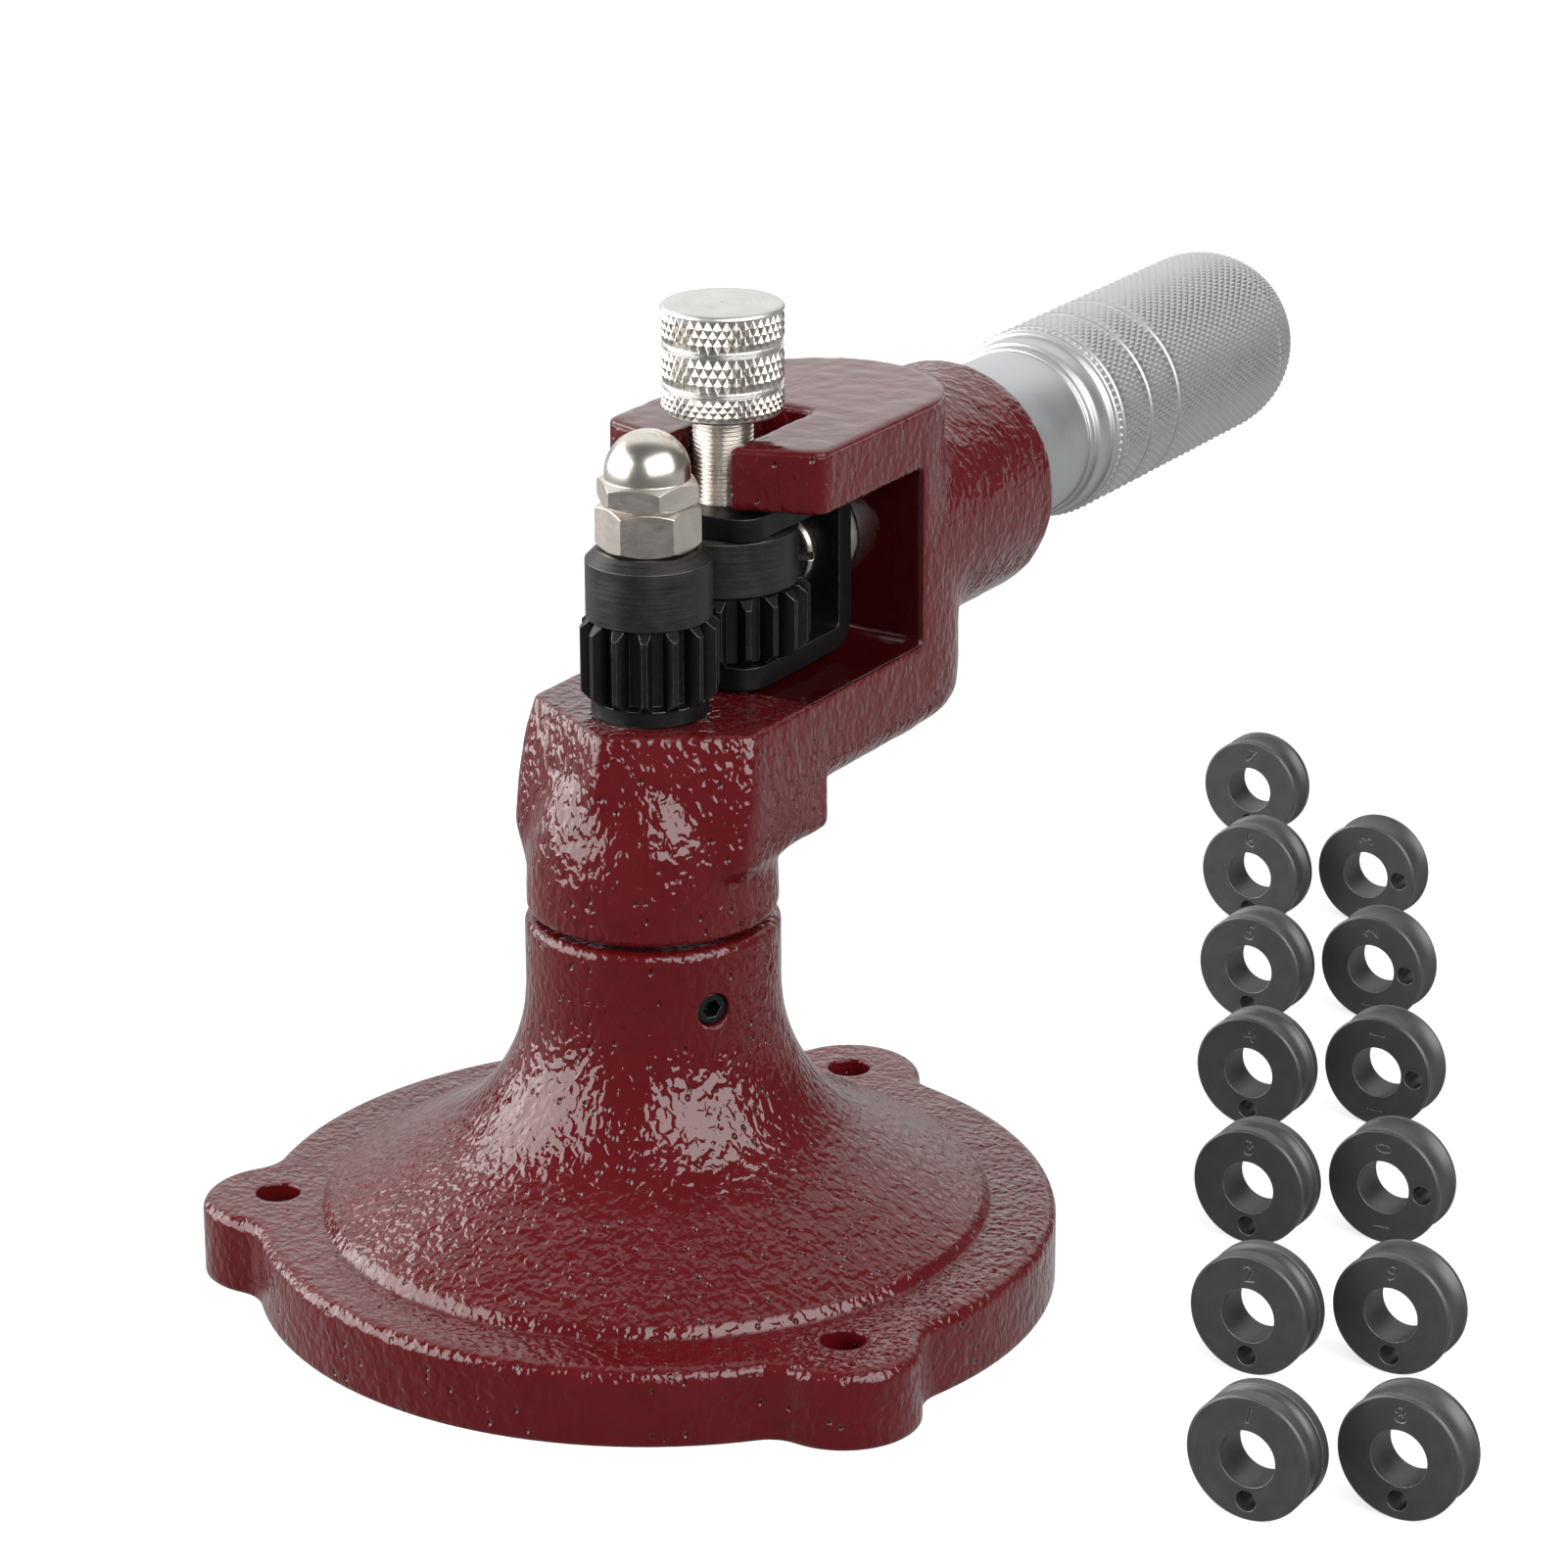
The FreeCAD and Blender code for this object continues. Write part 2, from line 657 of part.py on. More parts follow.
def make_head_neck():
    """Round neck whose shoulder runs in slowly under the flats of the block."""
    middle_z = (head_shoulder_low_z + head_shoulder_top_z) / 2
    start = Vec(head_neck_r, 0, head_shoulder_low_z)
    end = Vec(shoulder_r(head_shoulder_top_z), 0, head_shoulder_top_z)
    shoulder = Part.Arc(start, Vec(shoulder_r(middle_z), 0, middle_z), end).toShape()
    top = Vec(0, 0, head_shoulder_top_z)
    foot = Vec(0, 0, head_bottom_z)
    rest = Part.makePolygon([end, top, foot, Vec(head_neck_r, 0, head_bottom_z), start])
    neck = Part.Face(Part.Wire([shoulder] + rest.Edges)).revolve(foot, Z_AXIS, 360)
    rim = edges_where(neck, lambda p, e: abs(p.z - head_bottom_z) < 0.01)
    return neck.makeFillet(head_neck_foot_edge_r, rim)


def d_section(z, centre_y, start_y):
    """Plan of the rear column: square at the window, rounded at the back."""
    w = head_half_w
    corners = [Vec(-w, centre_y, z), Vec(-w, start_y, z), Vec(w, start_y, z), Vec(w, centre_y, z)]
    sides = Part.makePolygon(corners)
    back = Part.Arc(corners[3], Vec(0, centre_y + w, z), corners[0]).toShape()
    return Part.Wire(sides.Edges + [back])


def column_part(low_z, low_y, high_z, high_y):
    start_y = window_rear_y - over
    sections = [d_section(low_z, low_y, start_y), d_section(high_z, high_y, start_y)]
    return Part.makeLoft(sections, True, True)


def make_shelf():
    """Shelf under the window with a rounded belly, and the foot of the column."""
    w = head_half_w
    bar = box((-w, w), (shelf_root_y, column_low_y), (shelf_bottom_z, shelf_top_z))
    foot = column_part(shelf_bottom_z, column_low_y, shelf_top_z + over, column_low_y)
    shelf = bar.fuse(foot).removeSplitter()
    belly = edges_where(shelf, lambda p, e: abs(p.z - shelf_bottom_z) < 0.01 and p.y > shelf_root_y + 0.01)
    return shelf.makeFillet(shelf_belly_r, belly)


def make_top_plate():
    w = head_half_w
    plan = [(-w, window_rear_y + over), (-w, ear_corner_y), (-slot_half_w, ear_tip_y)]
    plan += [(slot_half_w, ear_tip_y), (w, ear_corner_y), (w, window_rear_y + over)]
    plate = prism(plan, window_top_z, plate_top_z)
    corners = edges_where(plate, lambda p, e: abs(abs(p.x) - w) < 0.01 and abs(p.y - ear_corner_y) < 0.01)
    plate = plate.makeFillet(ear_corner_r, corners)
    slot = box((-slot_half_w, slot_half_w), (0, slot_end_y), (window_top_z - over, plate_top_z + over))
    ends = edges_where(slot, lambda p, e: abs(p.y - slot_end_y) < 0.01 and abs(abs(p.x) - slot_half_w) < 0.01)
    return plate, slot.makeFillet(slot_corner_r, ends)


def make_boss():
    boss = bore_y(boss_r, window_rear_y + over, boss_end_y, boss_z)
    rim = edges_where(boss, lambda p, e: abs(p.y - boss_end_y) < 0.01)
    boss = boss.makeFillet(boss_edge_r, rim)
    w = head_half_w
    return boss.common(box((-w, w), (window_rear_y, boss_end_y + over), (shelf_bottom_z, plate_top_z)))


def make_head_casting():
    plate, slot = make_top_plate()
    parts = [make_head_neck(), make_fairing(), make_shelf(), plate, make_boss()]
    parts.append(column_part(shelf_top_z, column_low_y, column_low_z, column_low_y))
    parts.append(column_part(column_low_z, column_low_y, column_high_z, column_high_y))
    parts.append(column_part(column_high_z, column_high_y, plate_top_z, column_high_y))
    head = make_block().fuse(parts)
    w = head_half_w + block_belly + over
    window = box((-w, w), (2 * block_apex_low_y, window_rear_y), (shelf_top_z, window_top_z))
    front = box((-w, w), (2 * block_apex_low_y, 0), (shelf_top_z, plate_top_z + over))
    head = head.cut(window).cut(front).cut(slot).removeSplitter()
    rim = edges_where(head, lambda p, e: abs(p.z - plate_top_z) < 0.01)
    head = head.makeFillet(casting_edge_r, rim)
    brow = edges_where(head, lambda p, e: abs(p.z - window_top_z) < 0.01 and abs(abs(p.x) - head_half_w) < 0.01)
    jamb = edges_where(head, lambda p, e: abs(p.y - window_rear_y) < 0.01 and abs(abs(p.x) - head_half_w) < 0.01)
    sill = edges_where(head, lambda p, e: abs(p.z - shelf_top_z) < 0.01 and math.hypot(p.x, p.y) > pivot_bush_r + over
                       and p.y < window_rear_y - over)
    head = head.makeFillet(window_edge_r, brow + jamb + sill)
    head = head.cut(bore_z(pivot_bush_r, head_bottom_z - over, shelf_top_z + over))
    head = head.cut(bore_y(screw_r + part_gap, window_rear_y - over, bush_front_y + over, screw_z))
    return head.cut(bore_y(bush_r, bush_front_y, boss_end_y + over, screw_z))


def make_pivot_bush():
    return ring_wall(pivot_bush_r, post_r + run_fit, head_bottom_z + pivot_bush_inset, shelf_top_z - pivot_bush_inset)


def make_screw_bush():
    outer = bore_y(bush_r, bush_front_y, boss_end_y, screw_z)
    return outer.cut(bore_y(screw_r + run_fit, bush_front_y - over, boss_end_y + over, screw_z))


# ---- carriage --------------------------------------------------------------

def carriage_profile(front_y, rear_y, low_z, high_z, bend):
    """Side view of the bent bracket, open towards the front."""
    corners = [Vec(0, front_y, low_z), Vec(0, rear_y, low_z), Vec(0, rear_y, high_z), Vec(0, front_y, high_z)]
    blank = Part.Face(Part.makePolygon(corners + [corners[0]])).extrude(Vec(2 * carriage_half_w, 0, 0))
    bends = edges_where(blank, lambda p, e: abs(p.y - rear_y) < 0.01 and abs(p.x - carriage_half_w) < 0.01)
    blank = blank.makeFillet(bend, bends)
    blank.translate(Vec(-carriage_half_w, 0, 0))
    return blank


def make_carriage_bracket():
    outside = carriage_profile(carriage_front_y, web_outer_y, carriage_bottom_z, carriage_top_z, carriage_bend_r)
    inside = carriage_profile(carriage_front_y - over, web_inner_y, plate_low_z, plate_high_z, carriage_inner_r)
    bracket = outside.cut(inside)
    corners = edges_where(bracket, lambda p, e: abs(p.y - carriage_front_y) < 0.01
                          and abs(abs(p.x) - carriage_half_w) < 0.01)
    bracket = bracket.makeFillet(carriage_corner_r, corners)
    bracket = bracket.cut(bore_z(axle_thread_r + run_fit, plate_high_z - over, carriage_top_z + over, rear_axis))
    bracket = bracket.cut(bore_z(axle_pilot_r + run_fit, carriage_bottom_z - over, plate_low_z + over, rear_axis))
    return bracket.cut(bore_y(tenon_r + run_fit, web_inner_y - over, web_outer_y + over, screw_z))


# ---- pressure screw and handle ---------------------------------------------

def make_pressure_screw():
    start_y = web_inner_y
    shoulder_y = web_outer_y + axial_play
    step_y = neck_start_y + shank_step_t
    bevel = screw_bevel
    profile = [(0, start_y), (tenon_r, start_y), (tenon_r, shoulder_y), (screw_r - bevel, shoulder_y)]
    profile += [(screw_r, shoulder_y + bevel), (screw_r, step_y), (shank_r, step_y)]
    profile += [(shank_r, shank_end_y - bevel), (shank_r - bevel, shank_end_y), (0, shank_end_y)]
    screw = turned_y(profile, screw_z)
    return screw.cut(bore_y(retainer_shank_r, start_y - over, start_y + retainer_len, screw_z))


def make_retaining_screw():
    head_y = web_inner_y - axial_play - retainer_head_t
    under_y = web_inner_y - axial_play
    head = bore_y(retainer_head_r, head_y, under_y, screw_z)
    rim = edges_where(head, lambda p, e: abs(p.y - head_y) < 0.01)
    head = head.makeFillet(retainer_edge_r, rim)
    shank = bore_y(retainer_shank_r, under_y, under_y + retainer_len - blind_gap, screw_z)
    slot = box((-2 * retainer_head_r, 2 * retainer_head_r), (head_y - over, head_y + retainer_slot_d),
               (screw_z - retainer_slot_w / 2, screw_z + retainer_slot_w / 2))
    return head.fuse(shank).removeSplitter().cut(slot)


def groove_corners(outer_r, middle, width, depth):
    """Corners of a V groove in a turned profile, running along the axis."""
    return [(outer_r, middle - width / 2), (outer_r - depth, middle), (outer_r, middle + width / 2)]


def make_handle():
    step = fine_bevel
    centre_y = grip_end_y - grip_r
    profile = [(0, neck_start_y), (neck_r - step, neck_start_y), (neck_r, neck_start_y + step)]
    profile += [(neck_r, lip_y), (lip_r, lip_y + step), (lip_r, ring_y), (ring_r - step, ring_y)]
    profile += [(ring_r, ring_y + step), (ring_r, grip_y - step), (grip_r, grip_y)]
    for groove_y in grip_grooves_y:
        profile += groove_corners(grip_r, groove_y, grip_groove_w, grip_groove_d)
    profile.append((grip_r, centre_y))
    points = [Vec(r, y, screw_z) for r, y in profile]
    end = Vec(0, grip_end_y, screw_z)
    diagonal = grip_r * math.sqrt(0.5)
    dome = Part.Arc(points[-1], Vec(diagonal, centre_y + diagonal, screw_z), end).toShape()
    axis_line = Part.LineSegment(end, points[0]).toShape()
    outline = Part.Wire(Part.makePolygon(points).Edges + [dome, axis_line])
    handle = Part.Face(outline).revolve(Vec(0, 0, screw_z), Y_AXIS, 360)
    handle = handle.cut(bore_y(screw_r + run_fit, neck_start_y - over, neck_start_y + shank_step_t, screw_z))
    handle = handle.cut(bore_y(shank_r, neck_start_y, shank_end_y + over, screw_z))
    grub_hole = Part.makeCylinder(grub_r, neck_r + over, Vec(0, grub_y, screw_z), Vec(0, 0, -1))
    return handle.cut(grub_hole)


def make_handle_grub_screw():
    length = neck_r - shank_r - set_screw_recess
    screw = Part.makeCylinder(grub_r, length, Vec(0, 0, 0))
    screw = screw.cut(prism(hexagon(grub_socket_af, 0), length - grub_socket_depth, length + over))
    screw.Placement = FreeCAD.Placement(
        Vec(0, grub_y, screw_z - shank_r - screw_tip_gap), FreeCAD.Rotation(X_AXIS, 180))
    return screw


# ---- thumbscrew axle -------------------------------------------------------

def make_axle_pin():
    step_z = rear_roller_top_z + axle_end_gap
    shoulder_z = plate_low_z + axle_end_gap
    tip_z = carriage_bottom_z + axle_end_gap
    bevel = turned_bevel
    profile = [(0, tip_z), (axle_pilot_r - bevel, tip_z), (axle_pilot_r, tip_z + bevel)]
    profile += [(axle_pilot_r, shoulder_z), (axle_r, shoulder_z), (axle_r, step_z)]
    profile += [(axle_thread_r, step_z), (axle_thread_r, knob_bottom_z)]
    profile += [(axle_thread_r - bevel, knob_bottom_z), (axle_thread_r - bevel, axle_top_z), (0, axle_top_z)]
    return turned_z(profile, rear_axis)


def make_axle_knob():
    bevel = turned_bevel
    spigot_r = axle_thread_r - bevel
    profile = [(spigot_r, knob_bottom_z), (knob_r - bevel, knob_bottom_z), (knob_r, knob_bottom_z + bevel)]
    for share in knob_groove_shares:
        profile += groove_corners(knob_r, knob_bottom_z + knob_len * share, knob_groove_w, knob_groove_d)
    top_inner = knob_r - knob_edge_r
    profile += [(knob_r, knob_top_z - knob_edge_r)]
    points = [rear_axis + Vec(r, 0, z) for r, z in profile]
    diagonal = knob_edge_r * math.sqrt(0.5)
    on_edge = rear_axis + Vec(top_inner + diagonal, 0, knob_top_z - knob_edge_r + diagonal)
    top = rear_axis + Vec(top_inner, 0, knob_top_z)
    edge = Part.Arc(points[-1], on_edge, top).toShape()
    inner = [top, rear_axis + Vec(0, 0, knob_top_z), rear_axis + Vec(0, 0, axle_top_z)]
    inner += [rear_axis + Vec(spigot_r, 0, axle_top_z), points[0]]
    outline = Part.Wire(Part.makePolygon(points).Edges + [edge] + Part.makePolygon(inner).Edges)
    return Part.Face(outline).revolve(rear_axis, Z_AXIS, 360)


# ---- spare dies ------------------------------------------------------------

def die_place(number):
    """Where a die stands: its centre on the bench."""
    column, row = divmod(number - 1, die_column_length)
    along = polar(die_row_pitch * row, die_row_deg)
    across = polar(die_column_pitch * column, die_column_deg)
    return Vec(die_first_x, die_first_y, die_r) + along + across


def make_die(number):
    """Grooved forming die standing on its rim, numbered face towards -Y."""
    share = (number - 1) / (die_count - 1.0)
    width = die_groove_first_w + (die_groove_last_w - die_groove_first_w) * share
    low = (die_t - width) / 2.0
    edge = die_edge
    points = [(die_bore_r, 0), (die_r - edge, 0), (die_r, edge), (die_r, low)]
    points = [Vec(r, y, 0) for r, y in points]
    bottom = Vec(die_r - die_groove_depth, die_t / 2.0, 0)
    groove_end = Vec(die_r, die_t - low, 0)
    rest = [(die_r, die_t - edge), (die_r - edge, die_t), (die_bore_r, die_t), (die_bore_r, 0)]
    rest = [groove_end] + [Vec(r, y, 0) for r, y in rest]
    groove = Part.Arc(points[-1], bottom, groove_end).toShape()
    outline = Part.Wire(Part.makePolygon(points).Edges + [groove] + Part.makePolygon(rest).Edges)
    die = Part.Face(outline).revolve(Vec(0, 0, 0), Y_AXIS, 360)
    beside = number > 9
    hole_at = Vec(die_pin_hole_at, 0, 0) if beside else Vec(0, 0, -die_pin_hole_at)
    die = die.cut(Part.makeCylinder(die_pin_hole_r, die_t + 2 * over, hole_at - Vec(0, over, 0), Y_AXIS))
    die.translate(die_place(number) - Vec(0, die_t / 2.0, 0))
    return die


pieces = {
    "base_casting": make_base_casting,
    "base_set_screw": make_base_set_screw,
    "pivot_post": make_pivot_post,
    "gear_key": make_gear_key,
    "thrust_washer": make_thrust_washer,
    "front_gear": make_front_gear,
    "front_drive_pin": make_front_drive_pin,
    "front_roller": make_front_roller,
    "post_hex_nut": make_post_hex_nut,
    "acorn_nut": make_acorn_nut,
    "head_casting": make_head_casting,
    "pivot_bush": make_pivot_bush,
    "screw_bush": make_screw_bush,
    "carriage_bracket": make_carriage_bracket,
    "rear_gear": make_rear_gear,
    "rear_drive_pin": make_rear_drive_pin,
    "rear_roller": make_rear_roller,
    "axle_pin": make_axle_pin,
    "axle_knob": make_axle_knob,
    "pressure_screw": make_pressure_screw,
    "retaining_screw": make_retaining_screw,
    "handle": make_handle,
    "handle_grub_screw": make_handle_grub_screw,
}

os.makedirs("parts", exist_ok=True)
for name, make in pieces.items():
    make().exportStep("parts/" + name + ".step")
for number in range(1, die_count + 1):
    make_die(number).exportStep("parts/die_{:02d}.step".format(number))
print("gear centre distance", gear_distance, "web from", round(web_inner_y, 2), "to", round(web_outer_y, 2))
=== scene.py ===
import math

import bmesh
import bpy
from mathutils import Matrix, Vector


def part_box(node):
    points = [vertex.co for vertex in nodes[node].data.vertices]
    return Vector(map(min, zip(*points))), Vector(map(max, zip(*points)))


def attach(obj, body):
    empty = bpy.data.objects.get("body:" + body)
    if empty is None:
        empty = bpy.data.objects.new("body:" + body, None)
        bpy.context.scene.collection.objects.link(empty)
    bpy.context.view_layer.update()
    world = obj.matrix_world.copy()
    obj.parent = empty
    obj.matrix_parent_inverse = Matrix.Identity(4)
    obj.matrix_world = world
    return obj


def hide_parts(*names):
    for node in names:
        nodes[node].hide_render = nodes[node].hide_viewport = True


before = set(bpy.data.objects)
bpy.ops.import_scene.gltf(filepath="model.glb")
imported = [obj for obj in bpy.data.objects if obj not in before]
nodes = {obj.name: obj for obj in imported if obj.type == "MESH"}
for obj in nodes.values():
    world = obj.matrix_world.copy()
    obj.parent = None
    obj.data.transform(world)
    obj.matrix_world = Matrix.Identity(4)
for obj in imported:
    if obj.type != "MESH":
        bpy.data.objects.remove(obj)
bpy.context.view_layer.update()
mm = 0.001
nodeWeld = 0.001 * mm       # corners of a node closer than this are one corner
pieceWeld = 0.002 * mm      # the same for a piece made here
rearY = 20.0                # mm, where the lifting axle stands
screwZ = 101.0              # mm, height of the pressure screw and the handle
print("frame loaded:", len(nodes), "nodes")


# small helpers for picking things

def deselectAll():
    if bpy.context.mode != "OBJECT":
        bpy.ops.object.mode_set(mode="OBJECT")
    bpy.ops.object.select_all(action="DESELECT")


def pick(piece):
    deselectAll()
    piece.select_set(True)
    bpy.context.view_layer.objects.active = piece


def editMesh(selectMode="VERT"):
    bpy.ops.object.mode_set(mode="EDIT")
    bpy.ops.mesh.select_mode(type=selectMode)


# selects the faces or edges of the mesh in edit mode that pass the test
def selectWhere(kind, test):
    bpy.ops.mesh.select_all(action="DESELECT")
    shape = bmesh.from_edit_mesh(bpy.context.edit_object.data)
    for item in getattr(shape, kind):
        if test(item):
            item.select_set(True)
    shape.select_flush_mode()
    bmesh.update_edit_mesh(bpy.context.edit_object.data)


# merges corners that lie together
def weld(piece, distance):
    pick(piece)
    editMesh()
    bpy.ops.mesh.select_all(action="SELECT")
    bpy.ops.mesh.remove_doubles(threshold=distance)
    bpy.ops.object.mode_set(mode="OBJECT")


# small helpers for adding nodes

def addNode(tree, kind, values=None, **settings):
    node = tree.nodes.new(kind)
    for name, value in settings.items():
        setattr(node, name, value)
    for socket, value in (values or {}).items():
        node.inputs[socket].default_value = value
    return node


def join(tree, start, end):
    tree.links.new(start, end)


# fills a node's inputs in order: an output is linked, and anything else is set
def fillInputs(tree, node, terms):
    for socket, term in zip(node.inputs, terms):
        if isinstance(term, bpy.types.NodeSocket):
            join(tree, term, socket)
        else:
            socket.default_value = term
    return node


def mathNode(tree, operation, *terms, clamp=False):
    node = addNode(tree, "ShaderNodeMath", operation=operation, use_clamp=clamp)
    return fillInputs(tree, node, terms).outputs[0]


# for an operation on vectors that gives one number
def vectorValue(tree, operation, *terms):
    node = addNode(tree, "ShaderNodeVectorMath", operation=operation)
    return fillInputs(tree, node, terms).outputs["Value"]


def combineXYZ(tree, *terms):
    return fillInputs(tree, addNode(tree, "ShaderNodeCombineXYZ"), terms).outputs[0]


def splitXYZ(tree, vector):
    return fillInputs(tree, addNode(tree, "ShaderNodeSeparateXYZ"), [vector]).outputs


def noiseNode(tree, vector, values, scale=None):
    node = addNode(tree, "ShaderNodeTexNoise", values)
    join(tree, vector, node.inputs["Vector"])
    if scale is not None:
        join(tree, scale, node.inputs["Scale"])
    return node.outputs["Fac"]


# runs from low to high while the value goes from start to end
def fade(tree, value, start, end, low=0.0, high=1.0, smooth=True):
    node = addNode(tree, "ShaderNodeMapRange", {"From Min": start, "From Max": end,
                                                "To Min": low, "To Max": high})
    if smooth:
        node.interpolation_type = "SMOOTHSTEP"
    join(tree, value, node.inputs["Value"])
    return node.outputs["Result"]


# an empty group with a Vector, the given numbers and the given outputs
def newGroup(name, numbers, outputs):
    group = bpy.data.node_groups.new(name, "ShaderNodeTree")
    group.interface.new_socket("Vector", in_out="INPUT", socket_type="NodeSocketVector")
    for socket, value in numbers.items():
        made = group.interface.new_socket(socket, in_out="INPUT", socket_type="NodeSocketFloat")
        made.default_value = value
    for socket, kind in outputs.items():
        group.interface.new_socket(socket, in_out="OUTPUT", socket_type=kind)
    start = group.nodes.new("NodeGroupInput")
    end = group.nodes.new("NodeGroupOutput")
    return group, start.outputs, end.inputs


def useGroup(tree, group, vector, values):
    node = addNode(tree, "ShaderNodeGroup", values, node_tree=group)
    join(tree, vector, node.inputs["Vector"])
    return node.outputs


def startMaterial(name):
    material = bpy.data.materials.new(name)
    material.use_nodes = True
    tree = material.node_tree
    return material, tree, tree.nodes["Principled BSDF"]


# camera

cameraPlace = {
    "azimuth": 31.23,           # degrees
    "elevation": 19.66,
    "roll": -0.20,
    "distance": 0.7281,         # m
    "aim": (0.0161, 0.0098, 0.0751),
    "lens": 117.6,              # mm
    "sensor": 36.0,
    "nearest": 0.01,            # m
    "farthest": 50.0,
}


# unit vector from the object towards an azimuth and elevation in degrees
def heading(azimuth, elevation):
    around = math.radians(azimuth)
    above = math.radians(elevation)
    return Vector((math.sin(around) * math.cos(above), -math.cos(around) * math.cos(above), math.sin(above)))


def addCamera():
    back = heading(cameraPlace["azimuth"], cameraPlace["elevation"])
    azimuth = math.radians(cameraPlace["azimuth"])
    roll = math.radians(cameraPlace["roll"])
    right = Vector((math.cos(azimuth), math.sin(azimuth), 0))
    up = back.cross(right)
    turnedRight = right * math.cos(roll) + up * math.sin(roll)
    turnedUp = up * math.cos(roll) - right * math.sin(roll)
    place = Vector(cameraPlace["aim"]) + back * cameraPlace["distance"]
    lens = bpy.data.cameras.new("studioCamera")
    lens.lens = cameraPlace["lens"]
    lens.sensor_width = cameraPlace["sensor"]
    lens.clip_start = cameraPlace["nearest"]
    lens.clip_end = cameraPlace["farthest"]
    camera = bpy.data.objects.new("studioCamera", lens)
    bpy.context.scene.collection.objects.link(camera)
    turn = Matrix((turnedRight, turnedUp, back)).transposed().to_4x4()
    camera.matrix_world = Matrix.Translation(place) @ turn
    bpy.context.scene.camera = camera


# floor, world and lights

studio = {
    "floorRadius": 6.0,
    "floorSides": 96,
    "floorColour": (0.42, 0.42, 0.42),
    "floorRoughness": 0.9,
    "floorShine": 0.72,             # added where the camera sees the floor, so that it looks white
    "dim": 0.14,                    # the dark room round the table
    "horizon": 0.02,                # half height of the blend between table and room
    "wallHeading": (211, 40),       # azimuth and elevation of the pale screen behind and above the object
    "wallEdges": (0.62, 0.86),      # cosine of the angle from its middle where it ends, and where it is full
    "wallGlow": 1.0,
    "tableHeading": (200, 0),       # where the table is brightest
    "tableEdges": (-1.0, 0.4),      # cosine of the angle from there where it is darkest, and where brightest
    "tableGlow": (0.03, 0.36),
    "softBoxes": {                  # azimuth, elevation, distance, width, height, watts
        "leftBox": (-59, 20, 1.1, 1.68, 0.91, 25.0),
        "rightBox": (71, 32, 1.2, 1.53, 0.87, 22.0),
    },
    "aim": (0.0, 0.03, 0.07),
}


def addFloor():
    deselectAll()
    bpy.ops.mesh.primitive_circle_add(vertices=studio["floorSides"], radius=studio["floorRadius"],
                                      fill_type="NGON")
    floor = bpy.context.object
    floor.name = "studioFloor"
    floor.visible_glossy = False
    material, tree, shader = startMaterial("paleFloor")
    shader.inputs["Base Color"].default_value = (*studio["floorColour"], 1.0)
    shader.inputs["Roughness"].default_value = studio["floorRoughness"]
    shader.inputs["Specular IOR Level"].default_value = 0.0
    shader.inputs["Emission Color"].default_value = (1, 1, 1, 1)
    seen = addNode(tree, "ShaderNodeLightPath").outputs["Is Camera Ray"]
    join(tree, mathNode(tree, "MULTIPLY", seen, studio["floorShine"]), shader.inputs["Emission Strength"])
    floor.data.materials.append(material)


def addSky():
    world = bpy.data.worlds.new("studioSky")
    bpy.context.scene.world = world
    world.use_nodes = True
    tree = world.node_tree
    place = addNode(tree, "ShaderNodeTexCoord").outputs["Generated"]
    height = splitXYZ(tree, place)["Z"]
    blend = studio["horizon"]

    def towards(name):
        return vectorValue(tree, "DOT_PRODUCT", place, heading(*studio[name]))

    table = mathNode(tree, "MULTIPLY", fade(tree, height, blend, -blend),
                     fade(tree, towards("tableHeading"), *studio["tableEdges"], *studio["tableGlow"]))
    wall = mathNode(tree, "MULTIPLY", fade(tree, height, -blend, blend),
                    fade(tree, towards("wallHeading"), *studio["wallEdges"], 0.0, studio["wallGlow"]))
    glow = mathNode(tree, "ADD", mathNode(tree, "ADD", table, wall), studio["dim"])
    seen = addNode(tree, "ShaderNodeLightPath").outputs["Is Camera Ray"]
    join(tree, mathNode(tree, "MAXIMUM", glow, seen), tree.nodes["Background"].inputs["Color"])


def addSoftBoxes():
    aim = Vector(studio["aim"])
    for name, (azimuth, elevation, distance, width, height, watts) in studio["softBoxes"].items():
        back = heading(azimuth, elevation)
        light = bpy.data.lights.new(name, "AREA")
        light.shape = "RECTANGLE"
        light.size = width
        light.size_y = height
        light.energy = watts
        lamp = bpy.data.objects.new(name, light)
        lamp.location = aim + back * distance
        lamp.rotation_euler = back.to_track_quat("Z", "Y").to_euler()
        lamp.visible_camera = False
        bpy.context.scene.collection.objects.link(lamp)


bpy.context.scene.view_settings.view_transform = "Standard"
bpy.context.scene.view_settings.look = "None"
addCamera()
addFloor()
addSky()
addSoftBoxes()
print("camera, floor and lights ready")


# shared surface effects

skinLook = {
    "lumps": {"Detail": 0.6, "Roughness": 0.5, "Distortion": 0.5},
    "swell": {"Detail": 0.0},
    "swellScale": 0.35,         # of the lumps' scale
    "swellHeight": 0.6,         # of the lumps' height
    "pitScale": 0.62,           # of the lumps' scale
    "pitEdges": (0.26, 0.06),   # distance from a pit's middle where it starts, and where it is deepest
    "pitless": 0.5,             # share of the places that have no pit
}


